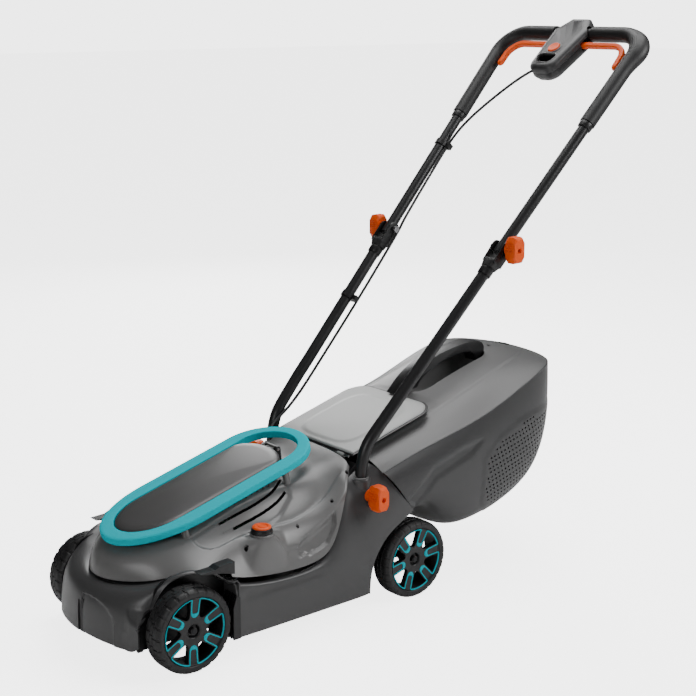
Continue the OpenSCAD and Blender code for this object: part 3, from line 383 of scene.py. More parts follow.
def tilted(origin, angle):
    """Maker of points from (x, v, w): v runs back and up at the angle, w stands square on it."""
    c, s = math.cos(angle), math.sin(angle)

    def place(x, v, w):
        x, v, w = np.broadcast_arrays(*(np.asarray(k, float) for k in (x, v, w)))
        return np.stack([origin[0] + x, origin[1] + v * c - w * s, origin[2] + v * s + w * c], axis=-1)

    return place


def even(p, n):
    """n evenly spaced points on a closed outline."""
    q = np.vstack([p, p[:1]])
    d = np.concatenate([[0], np.cumsum(np.linalg.norm(np.diff(q, axis=0), axis=1))])
    s = np.linspace(0, d[-1], n, endpoint=False)
    return np.column_stack([np.interp(s, d, q[:, 0]), np.interp(s, d, q[:, 1])])


def seg_dist(p, a, b):
    """Distance in 2-D from points p (..., 2) to the segment a-b."""
    a, b = np.asarray(a, float), np.asarray(b, float)
    t = np.clip(((p - a) @ (b - a)) / ((b - a) @ (b - a)), 0, 1)
    return np.linalg.norm(p - (a + t[..., None] * (b - a)), axis=-1)


def path_dist(p, pts):
    return np.min([seg_dist(p, pts[i], pts[i + 1]) for i in range(len(pts) - 1)], axis=0)


def inside_poly(p, poly):
    poly = np.asarray(poly, float)
    c = np.zeros(p.shape[:-1], bool)
    j = len(poly) - 1
    for i in range(len(poly)):
        yi, yj = poly[i, 1], poly[j, 1]
        hit = ((yi > p[..., 1]) != (yj > p[..., 1])) & (
            p[..., 0] < (poly[j, 0] - poly[i, 0]) * (p[..., 1] - yi) / (yj - yi + 1e-12) + poly[i, 0]
        )
        c ^= hit
        j = i
    return c


def poly_depth(p, poly):
    """Signed distance, positive inside."""
    ring = list(poly) + [poly[0]]
    d = path_dist(p, ring)
    return np.where(inside_poly(p, poly), d, -d)


def put(ob, body, *nodes, slot=None):
    """Fixes a piece to its body, in place of the CAD nodes; the slot argument is not used."""
    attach(ob, body)
    if nodes:
        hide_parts(*nodes)


def piece(name, obs, body, *nodes, angle=32):
    """One finished piece from several meshes, in place of the CAD nodes."""
    ob = joined(name, obs)
    smooth(ob, angle)
    put(ob, body, *nodes)


# ---------------------------------------------------------------- shared shapes
BUTTON = (150, -71, 0)
SOCKET = (144, 174, 0)
HOOD_NET = [
    [[0, -215, 224], [0, -250, 215], [0, -290, 205], [0, -322, 192], [0, -334, 170], [0, -337, 150]],
    [[0, -215, 224], [8, -250, 215], [14, -290, 205], [16, -322, 192], [17, -334, 170], [17, -337, 150]],
    [[0, -212, 224], [24, -245, 215], [40, -278, 205], [48, -312, 192], [51, -322, 170], [52, -325, 150]],
    [
        [0, -205, 226], [45, -225, 219], [78, -252, 207], [92, -272, 194], [98, -282, 172],
        [101, -286, 154]
    ],
    [
        [0, -190, 230], [55, -200, 226], [92, -215, 214], [108, -226, 200], [128, -238, 182],
        [146, -244, 172]
    ],
    [
        [0, -160, 238], [58, -165, 236], [100, -172, 222], [116, -180, 204], [148, -190, 190],
        [176, -205, 180]
    ],
    [
        [0, -120, 249], [60, -122, 248], [102, -126, 240], [118, -134, 214], [152, -148, 190],
        [181, -160, 152]
    ],
    [[0, -60, 264], [60, -60, 264], [104, -62, 258], [122, -66, 218], [156, -74, 206], [181, -84, 138]],
    [[0, 0, 274], [60, 0, 274], [104, 0, 270], [126, 2, 214], [156, 0, 200], [180, -6, 131]],
    [[0, 50, 276], [60, 50, 276], [100, 52, 270], [132, 56, 216], [160, 56, 210], [179, 52, 135]],
    [[0, 90, 280], [60, 90, 280], [96, 92, 272], [130, 96, 232], [160, 92, 232], [176, 84, 158]],
    [[0, 125, 290], [60, 125, 289], [94, 126, 282], [126, 128, 262], [154, 124, 252], [168, 110, 212]],
    [[0, 148, 299], [60, 148, 297], [92, 148, 292], [116, 148, 284], [136, 146, 276], [146, 140, 262]],
    [[0, 166, 303], [50, 166, 302], [80, 166, 299], [100, 166, 295], [114, 165, 290], [124, 163, 282]],
]
NOSE_NET = [
    [[0, -330, 142], [0, -343, 146], [0, -362, 139], [0, -374, 112], [0, -374, 50]],
    [[16, -330, 142], [17, -343, 146], [19, -362, 139], [20, -374, 112], [20, -374, 50]],
    [[48, -319, 142], [52, -333, 146], [59, -354, 139], [64, -367, 112], [66, -367, 48]],
    [[90, -286, 146], [97, -301, 150], [109, -330, 147], [116, -347, 116], [118, -350, 46]],
    [[118, -258, 158], [125, -273, 161], [134, -304, 156], [139, -328, 122], [140, -334, 46]],
    [[132, -236, 168], [135, -247, 173], [138, -266, 175], [140, -288, 168], [141, -298, 158]],
    [[150, -212, 176], [153, -222, 180], [156, -232, 184], [158, -240, 184], [159, -246, 182]],
    [[168, -184, 165], [178, -188, 169], [184, -192, 172], [186, -194, 172], [187, -194, 171]],
    [[172, -160, 142], [182, -160, 146], [187, -157, 150], [187, -154, 150], [188, -152, 148]],
]
SIDE_NET = [
    [[174, -158, 142], [184, -158, 144], [187, -156, 120], [187, -154, 70], [186, -153, 36]],
    [[172, -100, 126], [183, -100, 128], [187, -100, 108], [187, -100, 70], [186, -100, 35]],
    [[172, -20, 119], [183, -20, 121], [187, -20, 104], [187, -20, 70], [186, -20, 35]],
    [[171, 46, 124], [182, 50, 126], [187, 54, 106], [187, 54, 70], [186, 54, 35]],
    [[168, 76, 150], [179, 86, 150], [186, 96, 116], [187, 98, 70], [186, 98, 35]],
    [[160, 100, 205], [171, 112, 206], [183, 124, 150], [187, 134, 80], [186, 136, 35]],
    [[146, 122, 244], [158, 132, 240], [180, 142, 180], [187, 154, 100], [186, 164, 36]],
    [[138, 132, 256], [150, 142, 254], [177, 152, 205], [186, 160, 130], [186, 165, 40]],
    [[136, 140, 262], [152, 150, 258], [176, 164, 222], [186, 172, 150], [186, 168, 95]],
    [[134, 170, 276], [154, 180, 270], [176, 190, 238], [186, 200, 176], [187, 206, 148]],
    [[132, 192, 284], [158, 198, 280], [176, 218, 254], [185, 240, 214], [187, 250, 168]],
    [[130, 198, 288], [160, 202, 283], [176, 222, 255], [185, 250, 219], [187, 278, 184]],
]
BOX_UPPER = [
    [[0, 208, 298], [60, 208, 298], [112, 208, 295], [138, 208, 287], [158, 208, 279], [172, 208, 272]],
    [[0, 310, 325], [60, 310, 325], [118, 310, 322], [145, 310, 314], [166, 310, 307], [176, 310, 303]],
    [[0, 420, 358], [60, 420, 358], [115, 420, 353], [145, 420, 340], [168, 420, 328], [177, 420, 323]],
    [[0, 505, 388], [60, 505, 388], [112, 505, 381], [142, 505, 364], [166, 505, 350], [176, 505, 345]],
    [[0, 585, 410], [58, 588, 410], [106, 592, 406], [137, 596, 396], [162, 599, 388], [174, 600, 385]],
    [[0, 630, 420], [50, 640, 420], [94, 654, 418], [130, 666, 416], [152, 676, 414], [166, 680, 412]],
    [[0, 650, 423], [38, 666, 424], [72, 688, 423], [99, 704, 420], [118, 716, 416], [130, 722, 414]],
    [[0, 662, 424], [17, 686, 425], [34, 708, 424], [48, 724, 421], [59, 736, 418], [65, 742, 416]],
    [[0, 670, 425], [0, 692, 426], [0, 714, 425], [0, 730, 422], [0, 742, 418], [0, 748, 416]],
]
BOX_LOWER = [
    [[172, 208, 272], [184, 225, 254], [187, 262, 205], [172, 291, 173], [100, 302, 160], [0, 302, 160]],
    [[176, 310, 303], [188, 315, 270], [188, 322, 216], [172, 330, 188], [100, 336, 178], [0, 336, 178]],
    [[177, 420, 323], [188, 408, 280], [184, 392, 180], [170, 384, 116], [106, 392, 98], [0, 392, 98]],
    [[176, 505, 345], [187, 500, 290], [181, 492, 180], [164, 478, 110], [98, 476, 94], [0, 476, 94]],
    [[174, 600, 385], [183, 600, 300], [176, 590, 195], [158, 570, 130], [92, 562, 113], [0, 562, 113]],
    [[166, 680, 412], [172, 678, 300], [163, 662, 205], [144, 632, 152], [82, 620, 132], [0, 618, 132]],
    [[130, 722, 414], [137, 720, 300], [129, 700, 208], [110, 666, 160], [62, 646, 142], [0, 640, 140]],
    [[65, 742, 416], [69, 739, 300], [64, 720, 208], [54, 684, 162], [31, 658, 145], [0, 650, 142]],
    [[0, 748, 416], [0, 744, 300], [0, 726, 208], [0, 690, 163], [0, 664, 147], [0, 656, 143]],
]
on_ring = tilted((0.0, -313.0, 211.0), math.radians(15.08))


def long_outline(length, hw, front, rear, n):
    """Closed outline (x, v), evenly spaced, with elliptical ends."""
    a = np.linspace(math.pi, 2 * math.pi, 200)
    b = np.linspace(0, math.pi, 200)
    ends = [
        np.column_stack([hw * np.cos(a), front + front * np.sin(a)]),
        np.column_stack([hw * np.cos(b), length - rear + rear * np.sin(b)]),
    ]
    return even(np.concatenate(ends), n)


# ---------------------------------------------------------------- hood
def dip(g, n, depth):
    return g - n * depth[..., None]


def hood_details(g):
    """Shapes of the hood: raised shelf band, side scallop, vent panel, and the mound of the button."""
    n = grid_normals(g)
    x, y, z = np.abs(g[..., 0]), g[..., 1], g[..., 2]
    yz = np.stack([y, z], axis=-1)
    xy = np.stack([x, y], axis=-1)
    low = step(x, 104, 112)
    band = path_dist(xy, [(152, -52), (153, 12), (150, 60), (146, 100), (138, 140)])
    raised = step(-band, -16, -12) * low * step(-y, -150, -132) * step(y, -66, -52)
    g = dip(g, n, -2.2 * raised)
    scallop = poly_depth(
        yz,
        [
            (2, 152), (0, 170), (20, 182), (52, 198), (78, 222), (96, 246), (98, 222), (92, 190),
            (70, 162), (36, 150)
        ]
    )
    g = dip(g, n, 7.5 * step(scallop, -1.5, 3.5) * step(x, 158, 166))
    panel = poly_depth(
        xy,
        [
            (96, -194), (113, -191), (124, -184), (132, -174), (135, -159), (134.4, -140), (133.6, -115),
            (134, -80), (134, -45), (126, -10), (112, 26), (92, 36)
        ]
    )
    g = dip(g, n, 2.6 * step(panel, -1.5, 1.5))
    boss = np.linalg.norm(xy - np.array(BUTTON[:2]), axis=-1)
    lift = step(-boss, -52, -19) * step(-x, -180, -171) * (g[..., 0] > 0)
    z = g[..., 2]
    return np.stack([g[..., 0], g[..., 1], z + (np.maximum(z, 207.5) - z) * lift], axis=-1)


SLOTS = [
    [(101.8, -134), (103.1, -93), (102.6, -52), (98.5, -16), (91.8, 6), (84, 19), (76, 30)],
    [(117.6, -112), (116.8, -71), (114.4, -36), (110.8, -8), (107, 8), (101, 22)],
]
SLOT_TAILS = [[(98.6, -161), (101.8, -134)], [(117, -136), (117.6, -112)]]


def along_surface(g, line, half, deep, out):
    """Cutter that runs along a plan line on a surface: square across it, deep below and out above."""
    pts = g.reshape(-1, 3)
    nrm = grid_normals(g).reshape(-1, 3)
    plan = spline([(x, y, 0) for x, y in line], 10 * len(line))[:, :2]
    at, up = [], []
    for q in plan:
        d = np.linalg.norm(pts[:, :2] - q, axis=1)
        near = np.argsort(d)[:6]
        wt = 1 / (d[near] + 0.05)
        wt /= wt.sum()
        at.append(np.append(q, (pts[near, 2] * wt).sum()))
        up.append((nrm[near] * wt[:, None]).sum(axis=0))
    at, up = np.array(at), np.array(up)
    up *= np.sign(up[:, 2])[:, None]
    up /= np.linalg.norm(up, axis=1)[:, None]
    along = np.gradient(at, axis=0)
    across = np.cross(along, up)
    across /= np.linalg.norm(across, axis=1)[:, None]
    rows = [at + across * half * a + up * b for a, b in ((-1, -deep), (1, -deep), (1, out), (-1, out))]
    return loft("surface_cut", np.stack(rows, axis=1), M_BLACK_AND_SHADE)


def build_hood():
    g = both_sides(surface(HOOD_NET, 190, 100))
    g = hood_details(g)
    hood = shell("hood_shell", g, M_HOOD)
    tools = []
    for line in SLOTS:
        for sx in (1, -1):
            tools.append(along_surface(g, [(sx * x, y) for x, y in line], 2.9, 9, 6))
    for line in SLOT_TAILS:
        for sx in (1, -1):
            tools.append(along_surface(g, [(sx * x, y) for x, y in line], 2.2, 1.0, 6))
    for x, y, z, r in [
        (131, 150, 282, 3.4), (150, 97, 230, 3.4), (151, 12, 198, 3.4), (156.5, -112, 192, 4.0)
    ]:
        for s in (1, -1):
            tools.append(lathe("hole", [(r, -14), (r, 24)], M_BLACK_AND_SHADE, (s * x, y, z), n=24))
    for s in (1, -1):
        tools.append(
            lathe("socket", [(22.4, 200), (22.4, 360)], M_BLACK_AND_SHADE, (s * SOCKET[0], SOCKET[1], 0), n=48)
        )
        tools.append(
            block(
                "corner", (min(s * 168, s * 200), -238, 150), (max(s * 168, s * 200), -160, 193.5),
                M_BLACK_AND_SHADE
            )
        )
    tools.append(lathe("button_hole", [(16.6, 150), (16.6, 240)], M_BLACK_AND_SHADE, BUTTON, n=32))
    tools.append(lathe("button_well", [(21.2, 206.8), (21.2, 240)], M_BLACK_AND_SHADE, BUTTON, n=64))
    tools.append(lathe("cable_hole", [(4.5, 0), (4.5, 90)], M_BLACK_AND_SHADE, (-118, 152, 240), n=24))
    bay = [
        on_ring(x, v, w)[0:3]
        for w in (-80, 20)
        for x, v in [(-46, 70), (46, 70), (46, 248), (-46, 248)]
    ]
    tools.append(loft("bay", np.array(bay).reshape(2, 4, 3), M_BLACK_AND_SHADE))
    boolean(hood, tools)
    posts = []
    for v, x in [(14, 0), (112, 90), (112, -90), (352, 90), (352, -90)]:
        a, b = on_ring(x, v, -36), on_ring(x, v, -7.2)
        posts.append(tube("post", [a, (a + b) / 2, b], 7, M_HOOD, 32))
    beads = []
    for sx in (1, -1):
        d = [
            (82.7, -170, 227.6), (83.5, -95, 250.6), (81.5, -50, 260.6), (80, -27, 266.2), (79, -4, 269.4)
        ]
        beads.append(tube("bead", spline([(sx * x, y, z - 0.9) for x, y, z in d], 60), 1.7, M_HOOD, 16))
    piece("hood_upper", [hood] + posts + beads, "chassis", "hood")


# ---------------------------------------------------------------- ring and cover
def build_ring():
    n = 320
    outer = long_outline(459, 106.5, 150, 93, n)
    inner = long_outline(409, 72.6, 88, 62, n) + np.array([0, 29])
    k = 40
    rows = []
    for i in range(k):
        a = 2 * math.pi * (i + 0.5) / k
        ca, sa = math.cos(a), math.sin(a)
        u = math.copysign(abs(ca) ** 0.28, ca)
        w = math.copysign(abs(sa) ** 0.28, sa)
        t = (u + 1) / 2
        p = inner * (1 - t) + outer * t
        rows.append(on_ring(p[:, 0], p[:, 1], 7.5 * w))
    ring = loft("carry_ring_band", np.array(rows), M_RING, caps=False, close_u=True, angle=50)
    put(ring, "chassis", "carry_ring")


def inset(p, d):
    """Closed outline moved inwards by d."""
    t = np.roll(p, -1, axis=0) - np.roll(p, 1, axis=0)
    t /= np.linalg.norm(t, axis=1)[:, None]
    nrm = np.column_stack([-t[:, 1], t[:, 0]])
    c = p.mean(axis=0)
    if np.sum((c - p) * nrm) < 0:
        nrm = -nrm
    return p + nrm * d


def build_cover():
    out = long_outline(354, 71, 86, 40, 260) + np.array([0, 30.6])
    edge = [(9, -5), (0.6, -5), (0, -4.4), (0, 4.2), (0.5, 5.2), (1.6, 5.9), (4, 7.0), (8, 8.2)]
    rows = [(inset(out, d), h) for d, h in edge]
    base, shoulder = rows[-1]
    c, crown, rings = base.mean(axis=0), 12.6, 14
    for k in range(1, rings + 1):
        f = 1 - k / (rings + 0.5)
        rows.append((c + (base - c) * f, shoulder + (crown - shoulder) * (1 - f**2)))
    lid = loft("lid", [on_ring(q[:, 0], q[:, 1], h) for q, h in rows], M_COVER)
    lug = tube("lug", [on_ring(x, 394.6, -2) for x in (-12, 0, 12)], 6, M_COVER, 32)
    arm = loft(
        "arm",
        [
            [on_ring(x, v, w) for x, v, w in [(-12, v1, -7), (12, v1, -7), (12, v1, 2), (-12, v1, 2)]]
            for v1 in (372, 396)
        ],
        M_COVER
    )
    cover = joined("battery_lid", [lid, lug, arm])
    smooth(cover, 35)
    bevel(cover, 0.8, 2, 40)
    put(cover, "cover", "battery_cover")


# ---------------------------------------------------------------- lower deck
def nose_details(g):
    """Arched panel on the front face, and the right lower corner carried out to the wheel."""
    x, y, z = g[..., 0], g[..., 1], g[..., 2]
    out = np.clip((y + 350) / 20, 0, 0.8)
    w = step(-z, -124, -94) * (x > 112) * (out > 0)
    g = np.stack([x * (1 - w) + (118 + 38 * out) * w, y * (1 - w) + (-350 + 8.75 * out) * w, z], axis=-1)
    n = grid_normals(g)
    xz = np.stack([g[..., 0], g[..., 2]], axis=-1)
    panel = poly_depth(
        xz, [(1, 20), (1, 124), (20, 126), (40, 124), (55, 120), (70, 113), (82, 102), (88, 88), (89, 20)]
    )
    return dip(g, n, 2.6 * step(panel, -0.8, 0.8) * step(-g[..., 1], 300, 320))


def side_details(g):
    n = grid_normals(g)
    x, y, z = np.abs(g[..., 0]), g[..., 1], g[..., 2]
    crease = step(z, 100, 112) * step(-z, -128, -116) * step(y, -150, -130) * step(-y, -70, -30)
    return dip(g, n, 1.5 * crease * step(x, 182, 186))


CRANK_SPAN = 59.161  # along y, from a crank's pivot to its axle at rest
CRANK_Y = {end: y - CRANK_SPAN for end, y in AXLE_Y.items()}


def build_deck():
    nose = shell("nose", nose_details(both_sides(surface(NOSE_NET, 120, 90))), M_DECK)
    nose_cut = [
        block(
            "corner", (min(s * 168, s * 200), -238, 150), (max(s * 168, s * 200), -161, 193.2), M_BLACK_AND_SHADE
        ) for s in (1, -1)
    ]
    nose_cut.append(block("slot", (-8, -420, 20), (0.5, -330, 110), M_BLACK_AND_SHADE))
    boolean(nose, nose_cut)
    # Black block behind the slit in the nose: painted shade inside the slit.
    parts = [nose, block("slit_painted_shade", (-13, -370.5, 48), (6, -366, 113), M_BLACK_AND_SHADE)]
    # Front edge of the front wheel well, black as painted shade inside the well.
    corner = [(-341, 48), (-331, 48), (-322, 92), (-313, 122), (-322, 118), (-341, 100)]
    parts.append(prism("corner_back", corner, 138, 144, "x", M_BLACK_AND_SHADE))
    side = surface(SIDE_NET, 150, 60)
    sidep = shell("side", side_details(side), M_DECK)
    boolean(sidep, [lathe("neck_way", [(13.2, 170.6), (13.2, 230)], M_DECK, (0, 175, 234), "x", 40)])
    parts += [sidep, mirror_x(sidep)]
    front_well = [
        (-333, 48), (-322, 92), (-311, 124), (-299, 156), (-286, 166), (-264, 172), (-240, 166),
        (-205, 164), (-172, 158), (-152, 138), (-152, 36), (-172, 36), (-190, 50)
    ]
    rear_well = [
        (150, 36), (150, 240), (196, 258), (262, 172), (262, 150), (240, 76), (200, 76), (168, 40)
    ]
    chute_sides = [
        (70, 90), (146, 230), (173, 265), (194, 279), (288, 159), (160, 56), (148, 66), (100, 90)
    ]
    half = []
    # Inner walls of the wheel wells, black as painted shade inside the wells.
    half.append(prism("front_well", front_well, 137, 140, "x", M_BLACK_AND_SHADE))
    half.append(prism("rear_well", rear_well, 140, 143, "x", M_BLACK_AND_SHADE))
    half.append(block("wall_front", (137, -152, 36), (188, -149, 144), M_DECK))
    half.append(block("wall_rear", (140, 162, 36), (186, 165, 98), M_DECK))
    half.append(prism("chute_side", chute_sides, 105, 108, "x", M_DECK))
    for end in ("front", "rear"):
        half.append(
            lathe(
                "boss", [(9.4, 131), (14, 131), (14, 141), (9.4, 141), (9.4, 131)], M_DECK,
                (0, CRANK_Y[end], 90), "x", 40, caps=False
            )
        )
    wall = [
        (21.6, 150), (21.6, 258), (21.2, 262.4), (20.2, 264), (13.6, 264), (12.6, 263), (12.6, 190),
        (12.6, 190)
    ]
    half.append(lathe("tower", wall, M_DECK, (144, 173.6, 0), n=64))
    rim = [(12.9, 262), (13.6, 265.2), (15.2, 266.2), (16.8, 265.2), (17.2, 262)]
    half.append(lathe("tower_rim", rim, M_HOOD, (144, 174.4, 0), n=64, caps=False))
    half.append(block("web", (138, 158, 150), (150, 166, 230), M_DECK))
    for k in range(5):
        half.append(
            prism(
                "comb",
                [(-166 + 0.5, 36), (-150, 36), (-150, 116), (-157, 122), (-166 + 0.5, 112 - 4 * k)],
                152 + 8.2 * k, 156 + 8.2 * k, "x", M_BLACK_AND_SHADE
            )
        )
    parts += half + [mirror_x(o) for o in half]
    ring_in, ring_out = circle(168, 96, (0, -5)), circle(171, 96, (0, -5))
    rows = [
        np.column_stack([q, np.full(96, float(z))])
        for q, z in ((ring_in, 36), (ring_out, 36), (ring_out, 92), (ring_in, 92), (ring_in, 36))
    ]
    chamber = loft("chamber", rows, M_DECK, caps=False)
    boolean(chamber, [block("gate", (-105, 60, 46), (105, 200, 86), M_DECK)])
    roof = prism("roof", [(-184, -150), (184, -150), (184, 164), (-184, 164)], 90, 93, "z", M_DECK)
    boolean(
        roof,
        [
            block("port", (-105, 72, 80), (105, 172, 100), M_DECK),
            lathe("shaft_hole", [(13, 60), (13, 120)], M_DECK, (0, -5, 0))
        ],
    )
    floor = prism("chute_floor", [(160, 55), (290, 156), (288, 159), (158, 58)], -105, 105, "x", M_DECK)
    back = prism(
        "chute_roof",
        [(70, 90), (74, 90), (150, 228), (176, 262), (196, 276), (194, 279), (173, 265), (146, 230)],
        -105, 105, "x", M_DECK
    )
    parts += [chamber, roof, floor, back]
    piece("deck_lower", parts, "chassis", "lower_deck")


# ---------------------------------------------------------------- grass box
def box_top_details(g):
    n = grid_normals(g)
    x, y = np.abs(g[..., 0]), g[..., 1]
    xy = np.stack([x, y], axis=-1)
    plateau = poly_depth(
        xy, [(-5, 150), (110, 150), (112, 420), (109, 520), (101, 600), (88, 668), (60, 716), (-5, 730)]
    )
    g = dip(g, n, -1.8 * step(plateau, -3.5, 3.5))
    plate = step(poly_depth(xy, [(-5, 395), (100, 395), (103, 412), (96, 424), (-5, 424)]), -1, 1)
    return dip(g, n, 0.8 * plate)


def box_side_details(g):
    n = grid_normals(g)
    x, y, z = np.abs(g[..., 0]), g[..., 1], g[..., 2]
    yz = np.stack([y, z], axis=-1)
    rail = poly_depth(
        yz, [(262, 205), (330, 262), (420, 286), (470, 292), (440, 268), (340, 238), (290, 190)]
    )
    g = dip(g, n, -3.0 * step(rail, -5, 5) * step(x, 150, 170))
    field = poly_depth(
        yz,
        [
            (480, 150), (474, 250), (520, 288), (600, 318), (700, 330), (740, 300), (720, 200),
            (670, 150), (600, 126), (520, 112)
        ]
    )
    return dip(g, n, 1.4 * step(field, -1.5, 1.5) * step(y, 440, 470))


def build_box():
    g = both_sides(surface(BOX_UPPER, 180, 90))
    top = shell("box_lid", box_top_details(g), M_BOXTOP)

    def pocket(steps):
        """Loops of a long round-ended hollow, from (half width, height)."""
        t = np.linspace(0, math.pi, 48)
        rows = []
        for hw, z in steps:
            front = np.column_stack([-hw * np.cos(t), 428 + hw - hw * np.sin(t)])
            rear = np.column_stack([hw * np.cos(t), 642 - hw + hw * np.sin(t)])
            rows.append(np.column_stack([np.vstack([front, rear]), np.full(96, float(z))]))
        return rows

    sizes = [(36.5, 470), (36.5, 395), (35.5, 370), (33, 352), (28, 341), (22, 337)]
    tool = loft("pocket_tool", pocket(sizes), M_BOXTOP)
    level = [
        (24.6 * math.cos(k), 722.5 + 24.6 * math.sin(k))
        for k in np.linspace(math.pi, 2 * math.pi, 40)
    ]
    tool2 = prism("level_tool", level + [(24.6, 723), (-24.6, 723)], 380, 440, "z", M_BOXTOP)
    slit = prism("slit", [(-24, 726), (24, 726), (24, 730), (-24, 730)], 400, 440, "z", M_BOXTOP)
    boolean(top, [tool, tool2, slit])
    over = [(38.5, 426), (38.5, 395), (37.5, 368), (35, 350), (30, 338), (22, 334)]
    under = [(22, 336.5), (28, 340.5), (33, 351.5), (35.6, 369), (36.6, 395), (36.6, 426)]
    tub = loft("tub", pocket(over + under), M_BOXTOP, caps=False, close_u=True)
    inner = loft("tub_floor", pocket([(22, 334), (22, 336.5)]), M_BOXTOP)
    boolean(
        tub,
        [
            prism(
                "above",
                [
                    (380, 342.5), (500, 385.6), (560, 404), (620, 417), (700, 425.5), (700, 520),
                    (380, 520)
                ],
                -60, 60, "x", M_BOXTOP
            )
        ]
    )
    piece("box_upper_shell", [top, tub, inner], "grass_box", "grass_box_top")

    g = both_sides(surface(BOX_LOWER, 170, 100)[:, ::-1])
    body = box_side_details(g)
    low = shell("box_tub", body - np.array([0, 0, 0.4]), M_BOX)
    bm = bmesh.new()
    for r in range(19):
        for c in range(24):
            z = 124 + 11.2 * r + 2.2 * c
            y = 478 + 10.4 * c + (5.2 if r % 2 else 0) + 1.0 * r
            d = poly_depth(
                np.array([[y, z]]),
                [
                    (484, 156), (480, 248), (524, 284), (604, 312), (706, 324), (716, 290), (700, 205),
                    (664, 158), (600, 132), (520, 118)
                ]
            )[0]
            if d < 5:
                continue
            for s in (1, -1):
                m = Matrix.Translation(
                    (s * 0.172, y / 1000 - OY, z / 1000)
                ) @ Matrix.Rotation(math.pi / 2, 4, "Y")
                bmesh.ops.create_cone(
                    bm, cap_ends=True, segments=8, radius1=0.0025, radius2=0.0025, depth=0.06, matrix=m
                )
    me = bpy.data.meshes.new("perforation")
    bm.to_mesh(me)
    bm.free()
    holes = bpy.data.objects.new("perforation", me)
    bpy.context.scene.collection.objects.link(holes)
    boolean(low, [holes])
    smooth(low, 32)
    low.name = "box_lower_shell"
    put(low, "grass_box", "grass_box_body")

    outer = spline(
        [
            [0, 384, 366], [0, 410, 394], [0, 450, 420], [0, 520, 441], [0, 590, 450], [0, 628, 449],
            [0, 642, 432], [0, 634, 412]
        ],
        70
    )
    inn = spline(
        [
            [0, 616, 404], [0, 612, 420], [0, 590, 430], [0, 540, 426], [0, 490, 412], [0, 452, 392],
            [0, 440, 374]
        ],
        60
    )
    prof = np.vstack([outer[:, 1:], inn[:, 1:]])
    bar = prism("bar", prof, -17, 17, "x", M_BLACK_AND_SHADE)
    bevel(bar, 4.0, 4, 40)
    baked(bar, 40)
    bar.name = "box_carry_handle"
    put(bar, "grass_box", "box_handle")

    on_tab = tilted((0, 722, 422.6), math.radians(-8))
    r, c = 21.6, np.array([0, -9.0])
    outline = r * np.array([(math.cos(k), math.sin(k)) for k in np.linspace(math.pi, 2 * math.pi, 48)])
    rows = []
    for d, h in [(0, -3), (0, -0.9), (0.5, -0.6), (3, -0.6), (3.6, -1.1)]:
        q = c + (outline - c) * (1 - d / r)
        rows.append(on_tab(q[:, 0], q[:, 1], h))
    tab = loft("tab", rows, M_BOXTOP)
    barrel = tube("barrel", [on_tab(x, -1.8, -3) for x in (-18, 0, 18)], 1.6, M_BOXTOP, 24)
    piece("level_tab", [tab, barrel], "level_indicator", "level_flap")


# ---------------------------------------------------------------- rear flap
def build_flap():
    place = tilted((0.0, 169.0, 303.0), math.radians(15))
    hw, ln, r = 124.0, 236.0, 46.0
    gap = 2.6
    out = [(2 - hw, gap), (hw - 2, gap)]
    for cx, start in ((hw - r, 0), (r - hw, 90)):
        for k in np.radians(np.linspace(start, start + 90, 24)):
            out.append((cx + r * math.cos(k), ln - r + r * math.sin(k)))
    out = even(np.array(out), 320)
    c = np.array([0, 112.0])

    def plate(edge):
        rows = []
        for f, h in edge:
            q = c + (out - c) * f
            q[:, 1] = np.maximum(q[:, 1], gap + 1.7 * max(0, h + 3))
            rows.append(place(q[:, 0], q[:, 1], h))
        return rows

    border = plate([(0.90, -2.4), (0.985, -3), (1.0, -2.6), (1.0, -1.2), (0.99, -0.6), (0.94, -0.6)])
    panel = plate([(0.93, -1.4), (0.962, -1.4), (0.965, 0.2), (0.955, 1.2), (0.93, 1.5)])
    for f in np.linspace(0.90, 0.02, 40):
        q = c + (out - c) * f
        e = (q[:, 0] / 84) ** 4 + ((q[:, 1] - 112) / 90) ** 4
        panel.append(place(q[:, 0], q[:, 1], 1.5 + 1.5 * step(-e, -1.25, -0.75)))
    # The border band round the slab's edge is black: painted shade in the groove round the flap.
    parts = [loft("edge", border, M_BLACK_AND_SHADE), loft("slab", panel, M_FLAP)]
    for sx in (-86, 86):
        parts.append(tube("knuckle", [place(x, 4, -7) for x in (sx - 10, sx, sx + 10)], 4.6, M_FLAP, 32))
        foot = [(sx - 10, 4), (sx + 10, 4), (sx + 10, 9), (sx - 10, 9)]
        parts.append(loft("arm", [[place(x, v, w) for x, v in foot] for w in (-7, -2)], M_FLAP))
    piece("discharge_flap", parts, "flap", "rear_flap")


